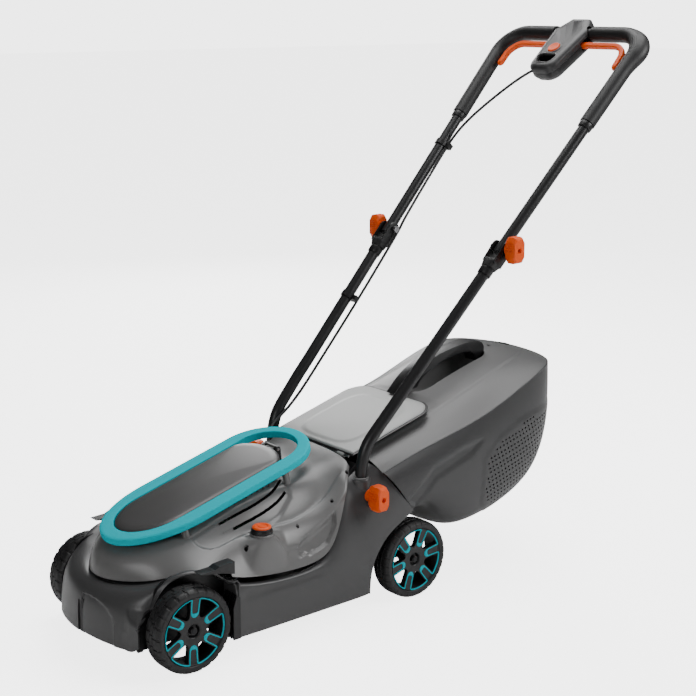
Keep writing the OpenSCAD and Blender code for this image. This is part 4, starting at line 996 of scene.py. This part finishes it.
# ---------------------------------------------------------------- wheels
def tread(kind):
    """Tyre mesh about its own centre, axis along x; groove depth varies round and across."""
    na, nb = 720, 64
    a = np.linspace(0, 2 * math.pi, na, endpoint=False)
    prof = [(64.2, -20.5), (66, -22.2), (70, -22.8), (73.5, -22.4)]
    prof += [(80 - 5.5 * abs(u) ** 6, 22.4 * u) for u in np.linspace(-0.985, 0.985, nb - 12)]
    prof += [(73.5, 22.4), (70, 22.8), (66, 22.2), (64.2, 20.5)]
    prof = np.array(prof)
    rr, xx = prof[:, 0][None, :].repeat(na, 0), prof[:, 1][None, :].repeat(na, 0)
    deg = np.degrees(a)[:, None]
    u = xx / 22.4

    def lines(period, shift, w, slope=0.0):
        ph = np.mod(deg + shift + slope * u, period)
        dd = np.minimum(ph, period - ph)
        return 1 - step(dd, w * 0.5, w * 0.5 + 0.45)

    n1 = 15.0 if kind == "front" else 12.0
    tread_zone = step(rr, 74.2, 76.5)
    wide = 1.0 if kind == "front" else 0.7
    row1 = lines(n1, 0, 0.9 * wide) * step(u, 0.18, 0.22)
    row2 = lines(n1, n1 / 2, 0.9 * wide) * step(-u, 0.18, 0.22)
    row3 = lines(n1, n1 / 4, 0.5 * wide, 3) * (1 - step(np.abs(u), 0.2, 0.24))
    around = 1 - step(np.abs(np.abs(u) - 0.21), 0.012, 0.03)
    notch = lines(n1, 0, 3.4 * wide) * step(u, 0.66, 0.72)
    notch = notch + lines(n1, n1 / 2, 3.4 * wide) * step(-u, 0.66, 0.72)
    depth = np.clip(row1 + row2 + row3 + 0.8 * around + notch, 0, 1) * (1.9 if kind == "front" else 1.2)
    rr = rr - depth * tread_zone
    lug = 1 - lines(n1, 0, 3.4 * wide)
    shoulder = step(rr, 70.5, 72.5) * (1 - step(rr, 76.5, 78.5)) * step(np.abs(u), 0.9, 0.96)
    xs = xx + np.sign(xx) * 0.9 * lug * shoulder
    pts = np.stack([xs, rr * np.cos(a)[:, None], rr * np.sin(a)[:, None]], axis=-1)
    seat = [
        np.column_stack([np.full(na, x), 64.0 * np.cos(a), 64.0 * np.sin(a)])[:, None]
        for x in (-21.0, 21.0)
    ]
    return np.concatenate([seat[0], pts, seat[1]], axis=1)


def face_x(r):
    """Distance of the rim's outer face from the wheel's middle plane, by radius."""
    return np.interp(
        r, [0, 11, 12.4, 14, 28, 45, 60, 62.5, 64], [8.9, 8.9, 15.6, 17.0, 17.4, 18.2, 19.8, 21.2, 21.0]
    )


def polar(r, deg):
    a = math.radians(deg)
    return np.array([r * math.cos(a), r * math.sin(a)])


def radial(deg):
    """Unit vectors outwards and across at an angle round the wheel."""
    d = polar(1, deg)
    return d, np.array([-d[1], d[0]])


def meander():
    """Centre of the turquoise line and its half widths: arcs over windows, loops round spokes."""
    line, width = [], []
    for k in range(6):
        phi = 60 * k
        d, e = radial(phi)
        for s in np.linspace(0, 1, 10):
            line.append(d * (60.5 - 22.5 * s) - e * (8.6 - 1.2 * s))
            width.append(1.15)
        for t in np.linspace(-90, 90, 17)[1:-1]:
            q = math.radians(t)
            line.append(d * (38 - 7.4 * math.cos(q) * 1.08) + e * 7.4 * math.sin(q))
            width.append(1.15 + 2.7 * math.cos(q) ** 2)
        for s in np.linspace(1, 0, 10):
            line.append(d * (60.5 - 22.5 * s) + e * (8.6 - 1.2 * s))
            width.append(1.15)
        a0 = math.degrees(math.atan2(8.6, 60.5)) + 1.4
        for t in np.linspace(phi + a0, phi + 60 - a0, 16):
            line.append(polar(62.0, t))
            width.append(1.15)
    return np.array(line), np.array(width)


def wheel_face():
    """Rim with six windows, in the wheel's own frame (x outwards)."""
    prof = [
        (5.05, -20), (14, -20), (14.4, -19), (14.4, 5), (20, 7.5), (59, 7.5), (60.2, 6), (60.2, -19),
        (63.5, -19.4), (63.6, 19.5), (63.4, 20.8)
    ]
    prof += [(r, face_x(r)) for r in np.linspace(62.6, 28, 24)] + [
        (r, face_x(r))
        for r in (24, 20, 17, 14.4, 13.6, 12.8, 12.3, 11.6, 11, 10, 5.05)
    ]
    prof += [(5.05, -20)]
    disc = lathe("disc", prof, M_RIM, (0, 0, 0), "x", 144, caps=False)
    tools = []
    spoke = math.degrees(math.asin(11.2 / 60.2))
    for k in range(6):
        start, end = 60 * k, 60 * (k + 1)
        pts = [polar(60.2, t) for t in np.linspace(start + spoke, end - spoke, 16)]
        d, e = radial(end)
        pts += [d * (57 - 21 * s) - e * (11.2 - 1.2 * s) for s in np.linspace(0, 1, 8)]
        d, e = radial(start + 30)
        pts += [d * r + e * off for r, off in ((29.5, 5.0), (27.5, 2.0), (27.5, -2.0), (29.5, -5.0))]
        d, e = radial(start)
        pts += [d * (57 - 21 * s) + e * (11.2 - 1.2 * s) for s in np.linspace(1, 0, 8)]
        tools.append(prism("window", pts, -4, 30, "x", M_RIM))
    boolean(disc, tools)
    hexa = lathe(
        "hub_seat", [(9.6, 8.6), (9.6, 10.2), (9.0, 10.6), (7.6, 10.6), (7.6, 8.6)], M_RIM, (0, 0, 0),
        "x", 48
    )
    face = joined("rim_face", [disc, hexa])
    smooth(face, 30)
    line, width = meander()
    t = np.roll(line, -1, axis=0) - np.roll(line, 1, axis=0)
    t /= np.linalg.norm(t, axis=1)[:, None]
    nrm = np.column_stack([-t[:, 1], t[:, 0]])
    rows = []
    for off, h in [(-1, -1.2), (-1, 0.5), (-0.6, 0.95), (0.6, 0.95), (1, 0.5), (1, -1.2)]:
        q = line + nrm * (width * off)[:, None]
        x = face_x(np.linalg.norm(q, axis=1)) + h
        rows.append(np.column_stack([x, q]))
    trim = loft("trim", np.array(rows), M_TRIM, caps=False, close_u=True)
    return face, trim


ROLLED = {"front": 26, "rear": 9}


def build_wheels():
    for end, y in AXLE_Y.items():
        g = tread(end)
        rubber = mesh_object(
            "tread_" + end, g.reshape(-1, 3), grid_faces(*g.shape[:2], True, True), M_TYRE, 30
        )
        face, trim = wheel_face()
        for side, sx in (("right", 1), ("left", -1)):
            turn = 0 if sx > 0 else math.pi
            at = Matrix.Translation((sx * WHEEL_X / 1000, y / 1000 - OY, WHEEL_R / 1000))
            at = at @ Matrix.Rotation(turn, 4, "Z") @ Matrix.Rotation(math.radians(ROLLED[end]), 4, "X")
            made = ((rubber, "tread", "tyre"), (face, "wheel_rim", "rim"), (trim, "wheel_trim", None))
            for src, name, node in made:
                me = src.data.copy()
                me.transform(Matrix.Translation((0, OY, 0)))
                me.transform(at)
                ob = bpy.data.objects.new(f"{name}_{end}_{side}", me)
                bpy.context.scene.collection.objects.link(ob)
                if node:
                    put(ob, f"wheel_{end}_{side}", f"{node}_{end}_{side}")
                else:
                    put(ob, f"wheel_{end}_{side}", slot="turquoise_plastic")
        drop([rubber, face, trim])


# ---------------------------------------------------------------- handle
TILT = math.radians(46.3)
ALONG = np.array([0.0, math.cos(TILT), math.sin(TILT)])
BEHIND = np.array([0.0, math.sin(TILT), -math.cos(TILT)])
PIVOT = np.array([0.0, 526.0, 683.0])
TUBE_X = 172.0
FLARE = 0.05
BAR_S, CORNER = 575.0, 60.0
TOP_S = BAR_S - CORNER
TOP_X = TUBE_X + FLARE * TOP_S


def on_handle(s, x):
    return PIVOT + s * ALONG + np.array([x, 0.0, 0.0])


def side_path(s0, x_in, n=18, lead=30):
    pts = [on_handle(s, TUBE_X + FLARE * s) for s in np.linspace(s0, TOP_S, lead)]
    for i in range(1, n + 1):
        a = math.pi / 2 * i / n
        pts.append(on_handle(TOP_S + CORNER * math.sin(a), TOP_X - CORNER * (1 - math.cos(a))))
    for x in np.linspace(TOP_X - CORNER, x_in, 8)[1:]:
        pts.append(on_handle(BAR_S, x))
    return np.array(pts)


def build_tubes():
    side = side_path(-14, 60)
    u = np.vstack([side, (side * np.array([-1, 1, 1]))[::-1]])
    tubes = tube("u_tube", u, 12, M_TUBE, 40)
    way = [(3.06, -40), (3.06, 40)]
    boolean(tubes, [lathe("bolt_way", way, M_TUBE, PIVOT + (s * TUBE_X, 0, 0), "x", 32) for s in (1, -1)])
    tubes.name = "u_handle_tube"
    put(tubes, "upper_handle", "upper_tube")
    bend = spline(
        [
            [144, 175.5, 268], [144.4, 178, 296], [145.6, 186, 322], [147.6, 199, 341], [150.4, 226, 369],
            [153, 252, 396.5]
        ],
        40
    )
    path = np.vstack(
        [
            [[144, 174, 196], [144, 174.6, 225], [144, 175.2, 250]], bend,
            [on_handle(s, TUBE_X + FLARE * s) for s in np.linspace(-350, -33, 12)]
        ]
    )
    right = tube("lower_bar_right", path, 12, M_TUBE, 40)
    boolean(right, [lathe("bolt_way", [(3.4, -40), (3.4, 40)], M_TUBE, (144, 175, 234), "x", 32)])
    left = mirror_x(right, "lower_bar_left")
    put(right, "chassis", "lower_tube_right")
    put(left, "chassis", "lower_tube_left")


def grip_half():
    p = side_path(330, 54, 26, 26)
    s = np.concatenate([[0], np.cumsum(np.linalg.norm(np.diff(p, axis=0), axis=1))])
    corner = s[25] + 34

    def shape(i, d):
        out = np.array([0.62, 0.0, 0.0]) + 0.62 * BEHIND + 0.30 * ALONG
        out = out / np.linalg.norm(out)
        f = np.clip(d @ out, 0, 1) ** 1.6
        up = step(s[i], corner - 78, corner - 4) * (1 - step(s[i], corner + 8, corner + 74))
        return 11.0 * f * up

    body = tube("grip", p, np.full(len(p), 17.0), M_GRIP, 48, shape)
    pts = [on_handle(k, TUBE_X + FLARE * k) for k in (316, 317, 321, 330.5, 331.5)]
    ring = tube("collar", pts, [13.6, 14.8, 15.2, 15.6, 15.0], M_BLACK_AND_SHADE, 40)
    inner = side_path(300, 40, 20, 12)
    for ob in (body, ring):
        boolean(ob, [tube("bore", inner, 12.25, M_GRIP, 32)])
    dots = []
    t = frames(p)[1]
    for tilt in (-0.35, -0.1, 0.15, 0.4):
        for i in range(24, min(38, len(p) - 2)):
            top = np.cross(t[i], np.cross(np.array([0, -0.72, 0.69]), t[i]))
            top /= np.linalg.norm(top)
            outw = np.cross(t[i], top)
            if outw[0] < 0:
                outw = -outw
            d = top * math.cos(tilt) + outw * math.sin(tilt)
            r = 17.0 + float(shape(i, d[None, :])[0])
            c = p[i] + d * (r + 0.1)
            a = circle(1.0, 8)
            e1 = t[i]
            e2 = np.cross(d, e1)
            rows = [
                c + np.outer(a[:, 0] * k1, e1) + np.outer(a[:, 1] * k1, e2) + d * h
                for k1, h in ((1, -0.5), (0.95, 0.15), (0.6, 0.4))
            ]
            dots.append(loft("dot", rows, M_BLACK_AND_SHADE))
    return [body, ring] + dots


def build_grips():
    half = joined("half", grip_half())
    piece("grip_pair", [half, mirror_x(half)], "upper_handle", "hand_grips", angle=35)


in_console = tilted(on_handle(BAR_S, 0) + np.array([0, 7.3, 29.2]), math.radians(37))


def hull2(pts):
    """Convex outline round points in a plane."""
    pts = sorted(map(tuple, pts))

    def turn(a, b, c):
        return (b[0] - a[0]) * (c[1] - a[1]) - (b[1] - a[1]) * (c[0] - a[0])

    def half(ps):
        out = []
        for p in ps:
            while len(out) > 1 and turn(out[-2], out[-1], p) <= 0:
                out.pop()
            out.append(p)
        return out[:-1]

    return np.array(half(pts) + half(pts[::-1]))


def console_plan(i):
    pts = [(sx * (26 - i), 6 - i + sy * 6) for sx in (-1, 1) for sy in (-1, 1)]
    for s in (-1, 1):
        pts += list(circle(14, 64, (s * (36 - i), -34)))
        pts += list(circle(25, 64, (s * (12 - i), -138 + i)))
    return even(hull2(pts), 300)


def pocket_plan(g):
    pts = []
    for s in (-1, 1):
        pts += list(circle(12 + g, 48, (s * 11, -132))) + list(circle(10 + g, 48, (s * 15, -126)))
    return even(hull2(pts), 120)


def levels(name, plan, steps, mat, caps=True):
    rows = []
    for i, w in steps:
        q = plan(i)
        rows.append(in_console(q[:, 0], q[:, 1], w))
    return loft(name, rows, mat, caps=caps)


def lever_ways(w0, w1):
    out = []
    for s in (1, -1):
        q = np.array([(s * 30, -66), (s * 80, -66), (s * 80, -36), (s * 30, -36)])
        out.append(loft("lever_way", [in_console(q[:, 0], q[:, 1], w) for w in (w0, w1)], M_BLACK_AND_SHADE))
    return out


def build_console():
    top = levels(
        "console_cap", console_plan,
        [
            (3, -18.8), (0, -18.8), (0, -9), (0.4, -7.2), (2.2, -4.2), (5.2, -1.6), (7.4, -0.4), (9, 0),
            (15, 0.3), (16, -0.3)
        ],
        M_CONSOLE
    )
    bar = tube("bar_way", [in_console(x, -23.4, -19) for x in (-80, 0, 80)], 17.4, M_CONSOLE, 40)
    well = levels("button_well", lambda i: circle(14.6 + i, 48, (0, -96)), [(0, -10), (0, 10)], M_CONSOLE)
    pocket = levels("pocket_way", pocket_plan, [(0, -30), (0, -2), (1.2, 0.6), (1.2, 8)], M_CONSOLE)
    boolean(top, [bar, well, pocket] + lever_ways(-20, -13))
    rim = levels(
        "button_rim", lambda i: circle(14.6 + i, 64, (0, -96)),
        [(0.2, -3), (0.2, 0.9), (1.0, 1.5), (2.4, 1.5), (3.4, 0.4), (3.4, -1)], M_HOOD, caps=False
    )
    lip = levels(
        "pocket_rim", pocket_plan,
        [(0.0, -4), (0.0, 0.6), (0.7, 1.3), (1.9, 1.2), (2.6, 0.2), (2.6, -1.4)], M_HOOD, caps=False
    )
    piece("console_cover", [top, rim, lip], "upper_handle", "console_top")
    low = levels(
        "console_tub", console_plan,
        [(12, -44), (8, -43), (5.0, -40.4), (2.0, -34), (0, -28.8), (0, -19.6), (0.5, -19.2), (3, -19.2)],
        M_BLACK_AND_SHADE
    )
    bar = tube("bar_way", [in_console(x, -23.4, -19) for x in (-80, 0, 80)], 17.4, M_BLACK_AND_SHADE, 40)
    cuts = [bar] + lever_ways(-34, -10)
    cuts.append(levels("pocket_well", pocket_plan, [(-2.4, -31), (-2.4, 4)], M_BLACK_AND_SHADE))
    boolean(low, cuts)
    well = levels(
        "pocket_wall", pocket_plan, [(-0.5, -31), (-0.5, -4), (-2.4, -4), (-2.4, -31)], M_BLACK_AND_SHADE,
        caps=False
    )
    floor = levels("pocket_floor", pocket_plan, [(-0.6, -32), (-0.6, -30.4)], M_BLACK_AND_SHADE)
    piece("console_lower", [low, well, floor], "upper_handle", "console_base")
    knob = levels(
        "starter", lambda i: circle(14 - i, 64, (0, -96)),
        [(0, -3), (0, 2.4), (0.5, 3.3), (1.6, 3.9), (3.4, 4.0), (5, 3.6), (9, 3.3)], M_ORANGE
    )
    stem = levels("stem", lambda i: circle(5, 32, (0, -96)), [(0, -14), (0, -2.5)], M_ORANGE)
    piece("start_button_cap", [knob, stem], "start_button", "console_button")


def build_bail():
    bs, r = BAR_S - 33, 6.5
    bx, be = TOP_X - 31, TOP_S - 38
    p = [on_handle(bs, x) for x in np.linspace(34, bx - 36, 12)]
    for i in range(1, 17):
        a = math.pi / 2 * (1 - i / 16)
        p.append(on_handle(bs - 36 + 36 * math.sin(a), bx - 36 + 36 * math.cos(a)))
    p += [on_handle(s, bx + (bs - 36 - s) * 0.02) for s in np.linspace(bs - 40, be, 8)[1:]]
    p = np.array(p)
    n = len(p)
    s = np.linspace(0, 1, n)
    rr = np.full(n, r)
    rr[-1], rr[-2] = 3.2, 5.6
    tip = p[-1] + (p[-1] - p[-2]) * 0.15
    p = np.vstack([p, tip])
    rr = np.append(rr, 0.8)

    def shape(i, d):
        flat = np.abs(d @ BEHIND)
        side = np.sqrt(np.clip(1 - flat**2, 0, 1))
        square = (flat**5 + side**5) ** (-1 / 5)
        return rr[i] * (0.93 * square - 1)

    half = tube("lever", p, rr, M_ORANGE, 48, shape)
    arm = even(hull2(list(circle(5, 32, (-58, -11))) + list(circle(6, 32, (-55.5, -24)))), 80)
    plate = loft("plate", [in_console(x, arm[:, 0], arm[:, 1]) for x in (32.0, 36.0)], M_ORANGE)
    half = joined("lever_half", [half, plate])
    shaft = tube("shaft", [in_console(x, -58, -11) for x in (-40, 0, 40)], 4, M_ORANGE, 32)
    piece("switch_levers", [half, mirror_x(half), shaft], "bail", "bail_levers")


def knob(name, x0, x1, y, z, h, w, neck):
    """Slab knob with cut corners: round neck, ribs across both edges and a deep round hole in its face."""
    L = x1 - x0
    corners = [
        (0.5, -0.3), (0.5, 0.3), (0.3, 0.5), (-0.3, 0.5), (-0.5, 0.3), (-0.5, -0.3), (-0.3, -0.5),
        (0.3, -0.5)
    ]
    slab = even(np.array(corners), 128)
    rows = []
    for f, k in [
        (0, 0.78), (0.05, 0.90), (0.14, 0.97), (0.25, 1.0), (0.70, 1.0), (0.88, 0.94), (0.96, 0.88),
        (1.0, 0.82)
    ]:
        rows.append(
            np.column_stack([np.full(128, x0 + L * f), y + w * k * slab[:, 0], z + h * k * slab[:, 1]])
        )
    body = loft("barrel", rows, M_ORANGE)
    hole = [
        lathe("face_hole", [(5, x1 - 9), (5, x1 - 0.6), (6.2, x1 + 1.4)], M_ORANGE, (0, y, z), "x", 40)
    ]
    hole.append(lathe("bolt_hole", [(3.06, x0 - 2), (3.06, x1 - 8)], M_ORANGE, (0, y, z), "x", 32))
    for k in range(6):
        zz = z + h * 0.42 - k * 4.6
        for y0, y1 in ((y - w * 0.53, y - w * 0.46), (y + w * 0.46, y + w * 0.53)):
            hole.append(block("groove", (x0 + L * 0.12, y0, zz - 0.9), (x1 - 3, y1, zz + 0.9), M_ORANGE))
    boolean(body, hole)
    collar = [
        (3.06, x0 - neck), (w * 0.42, x0 - neck), (w * 0.42, x0 + 1), (3.06, x0 + 1), (3.06, x0 - neck)
    ]
    body = joined(name, [body, lathe("neck", collar, M_ORANGE, (0, y, z), "x", 48, caps=False)])
    smooth(body, 30)
    return body


def build_knobs():
    low = ("lower", 181, 214, 175, 234, 50, 30, 10)
    mid = ("mid", 195, 222, PIVOT[1], PIVOT[2], 54, 34, 3)
    for where, x0, x1, y, z, h, w, neck in (low, mid):
        k = knob(f"knob_{where}_r", x0, x1, y, z, h, w, neck)
        m = mirror_x(k, f"knob_{where}_l")
        put(k, f"knob_{where}_right", f"{where}_knob_right")
        put(m, f"knob_{where}_left", f"{where}_knob_left")


def build_cable():
    up = [
        [-34, 835, 1024], [-42, 832, 1020], [-54, 824, 1012], [-72, 808, 996], [-94, 786, 972],
        [-118, 762, 944], [-140, 740, 916], [-156, 724, 892], [-166, 708, 868], [-168, 690, 846],
        [-164, 650, 804], [-160, 610, 762], [-156, 575, 725], [-153, 550, 698], [-152, 540, 684]
    ]
    down = [
        [-152, 539, 683], [-150, 522, 664], [-148, 490, 628], [-144, 440, 574], [-141, 390, 520],
        [-138, 340, 468], [-135, 290, 416], [-133, 250, 374], [-132, 215, 342], [-131, 184, 322],
        [-130, 165, 312], [-122, 154, 300], [-118, 152, 284]
    ]
    path = np.vstack([spline(up, 120), spline(down, 110)[1:]])
    c = tube("switch_cable", path, 3.0, M_CABLE, 14)
    a, b = row([-153, 575, 725])[0], row([-150, 490, 628])[0]
    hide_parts("cable_upper", "cable_lower")
    tuple(a)
    tuple(b)
    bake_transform(c)


def build_fork():
    along_tube = tilted(PIVOT, TILT)
    parts = []
    for s in (-1, 1):
        q = even(
            hull2(list(circle(14.5, 48)) + [(-13.5, -34), (13.5, -34), (13.5, -42), (-13.5, -42)]), 120
        )
        rows = []
        for dx, ins in ((-1.5, 0.8), (-1.2, 0.0), (1.2, 0.0), (1.5, 0.8)):
            k = inset(q, ins)
            rows.append(along_tube(TUBE_X + s * 15.1 + dx, k[:, 1], -k[:, 0]))
        parts.append(loft("cheek", rows, M_BLACK_AND_SHADE))
    rows = []
    for w, hx, hy, cx, e in [
        (-70, 13.6, 13.6, -3, 2.0), (-69, 14.2, 14.2, -3, 2.0), (-56, 14.4, 14.3, -2.8, 2.2),
        (-54.6, 13.5, 13.4, -2.8, 2.2), (-53.4, 13.5, 13.4, -2.8, 2.3), (-52, 15.0, 14.4, -2.2, 2.6),
        (-42, 16.4, 14.2, -0.4, 5.0), (-35, 16.6, 14.0, 0, 6.0), (-34, 16.2, 13.6, 0, 6.0)
    ]:
        a = np.linspace(0, 2 * math.pi, 96, endpoint=False)
        c, sn = np.cos(a), np.sin(a)
        q = (np.abs(c) ** e + np.abs(sn) ** e) ** (-1 / e)
        rows.append(along_tube(TUBE_X + cx + hx * q * c, w, -hy * q * sn))
    sleeve = loft("sleeve", rows, M_BLACK_AND_SHADE)
    bore = tube("bore", [along_tube(TUBE_X - 4.2, w, 0) for w in (-100, -60, -32)], 12.4, M_BLACK_AND_SHADE, 40)
    boolean(sleeve, [bore])
    half = joined("fork_half", parts + [sleeve])
    piece("fold_forks", [half, mirror_x(half)], "chassis", "tube_forks")


def build_button():
    base = lathe(
        "collar",
        [
            (10, 182), (12.4, 182), (12.4, 206), (20.2, 207), (20.6, 209), (20.4, 215.8), (19.9, 216.8),
            (19.2, 216.8), (18.9, 216.2), (18.9, 210.6), (10, 210.6), (10, 182)
        ],
        M_BLACK_AND_SHADE, BUTTON, n=96, caps=False
    )
    seat = lathe(
        "seat", [(20.4, 205), (22.4, 207), (22.8, 209.6), (22.0, 210.6), (20.7, 210.4)], M_HOOD, BUTTON,
        n=96, caps=False
    )
    piece("button_collar", [base, seat], "chassis", "button_base")
    skirt = lathe(
        "skirt", [(12, 216), (18.4, 216), (18.4, 220.6), (17.4, 220.6), (12, 220.6)], M_BLACK_AND_SHADE, BUTTON,
        n=96
    )
    prof = [
        (12, 220.2), (17.9, 220.2), (17.9, 221.8), (17.3, 223.2), (16.0, 224.0), (12.4, 224.0),
        (11.4, 223.2), (10.6, 222.4)
    ]
    cap = lathe("cap", prof + [(0.01, 222.4)], M_ORANGE, BUTTON, n=96)
    oval = circle(1.0, 48) * (9.0, 6.2)
    steps = ((1, 222.2), (1, 223.0), (0.92, 223.6), (0.5, 223.8))
    rows = [[(BUTTON[0] + x * f, BUTTON[1] + y * f, z) for x, y in oval] for f, z in steps]
    raised = loft("oval", rows, M_ORANGE)
    stem = lathe("stem", [(4, 146), (4, 218)], M_BLACK_AND_SHADE, BUTTON, n=32)
    foot = block("foot", (120, -75, 144), (154, -67, 150), M_BLACK_AND_SHADE)
    toe = lathe("toe", [(3, 133), (3, 145)], M_BLACK_AND_SHADE, (126, -71, 0), n=24)
    piece("height_cap", [cap, skirt, raised, stem, foot, toe], "height_push_button", "height_button")


build_hood()
build_ring()
build_cover()
build_deck()
build_box()
build_flap()
build_wheels()
build_tubes()
build_grips()
build_console()
build_bail()
build_knobs()
build_cable()
build_fork()
build_button()

# ---------------------------------------------------------------- pieces shown as they were built
CARRIED = {
    M_BLACK_AND_SHADE: [
        "axle_brackets", "cable_clip_lower", "cable_clip_upper", "crank_bushes", "cover_bracket",
        "vent_grilles", "battery_pack", "cooling_fan", "front_axle_nuts", "rear_axle_nuts"
    ],
    M_STEEL: [
        "height_spring", "cover_pin", "flap_pin", "flap_springs", "handle_bolts", "motor_shaft", "blade",
        "blade_bolt", "link_rod", "bail_spring", "motor_base"
    ],
    # Axles and deck screws in darkened steel: painted shade in the hub recesses and screw holes.
    M_STEEL_PAINTED_SHADE: ["front_axle", "rear_axle", "deck_screws"],
    M_COVER: ["motor_can"],
    M_BOARD: ["controller_board"],
}
for mat, names in CARRIED.items():
    for n in names:
        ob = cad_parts[n]
        ob.data.materials.clear()
        ob.data.materials.append(mat)
for n in (
    "axle_brackets", "cable_clip_lower", "cable_clip_upper", "cover_bracket", "front_axle_nuts",
    "rear_axle_nuts", "battery_pack"
):
    bevel(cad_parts[n], 0.7, 2, 35)

# ---------------------------------------------------------------- stage, light and camera
bpy.ops.mesh.primitive_plane_add(size=60, location=(0, 0, -0.0006))
floor = bpy.context.object
floor.name = "floor"
fm = bpy.data.materials.new("pale_floor")
fm.use_nodes = True
fb = fm.node_tree.nodes["Principled BSDF"]
fb.inputs["Base Color"].default_value = (0.93, 0.93, 0.93, 1)
fb.inputs["Roughness"].default_value = 0.8
fb.inputs["Emission Color"].default_value = (1, 1, 1, 1)
seen = fm.node_tree.nodes.new("ShaderNodeLightPath")
glow = fm.node_tree.nodes.new("ShaderNodeMath")
glow.operation = "MULTIPLY"
glow.inputs[1].default_value = 3.6
fm.node_tree.links.new(seen.outputs["Is Camera Ray"], glow.inputs[0])
fm.node_tree.links.new(glow.outputs[0], fb.inputs["Emission Strength"])
floor.data.materials.append(fm)

# White where the camera sees it; as a light it is soft, and weaker towards the floor
world = bpy.data.worlds.new("studio")
bpy.context.scene.world = world
world.use_nodes = True
wt = world.node_tree
sky = wt.nodes["Background"]
white = wt.nodes.new("ShaderNodeBackground")
white.inputs[1].default_value = 5.0
coord = wt.nodes.new("ShaderNodeTexCoord")
height = wt.nodes.new("ShaderNodeSeparateXYZ")
ramp = wt.nodes.new("ShaderNodeMapRange")
ramp.inputs["From Min"].default_value = -0.1
ramp.inputs["From Max"].default_value = 0.9
ramp.inputs["To Min"].default_value = 0.35
ramp.inputs["To Max"].default_value = 1.9
path = wt.nodes.new("ShaderNodeLightPath")
choose = wt.nodes.new("ShaderNodeMixShader")
wt.links.new(coord.outputs["Generated"], height.inputs[0])
wt.links.new(height.outputs["Z"], ramp.inputs["Value"])
wt.links.new(ramp.outputs["Result"], sky.inputs[1])
wt.links.new(path.outputs["Is Camera Ray"], choose.inputs[0])
wt.links.new(sky.outputs[0], choose.inputs[1])
wt.links.new(white.outputs[0], choose.inputs[2])
wt.links.new(choose.outputs[0], wt.nodes["World Output"].inputs[0])


def area(name, at, to, size, power):
    d = bpy.data.lights.new(name, "AREA")
    d.energy = power
    d.shape = "RECTANGLE"
    d.size, d.size_y = size
    o = bpy.data.objects.new(name, d)
    bpy.context.scene.collection.objects.link(o)
    o.location = at
    o.rotation_euler = (Vector(to) - Vector(at)).to_track_quat("-Z", "Y").to_euler()


area("key", (-0.4, 0.8, 3.2), (0, 0, 0.3), (2.2, 2.2), 90)
area("side", (2.3, 1.9, 2.1), (0, 0, 0.3), (1.5, 1.5), 70)
area("front", (1.6, -3.4, 1.8), (0, -0.1, 0.35), (1.4, 1.4), 34)
area("rim", (-2.8, 1.6, 1.8), (0, 0.1, 0.5), (0.8, 2.2), 40)

cam_data = bpy.data.cameras.new("camera")
cam = bpy.data.objects.new("camera", cam_data)
bpy.context.scene.collection.objects.link(cam)
cam_data.sensor_width = 36.0
cam_data.lens = 74.35655  # mm, solved from the circles of the wheels and the sides of the handle
cam_data.clip_end = 100
cam.location = (2.17808, -1.56368 - OY, 1.16433)
az, el = math.radians(50.007), math.radians(13.472)
look = Vector((-math.sin(az) * math.cos(el), math.cos(az) * math.cos(el), -math.sin(el)))
cam.rotation_euler = look.to_track_quat("-Z", "Y").to_euler()
bpy.context.scene.camera = cam
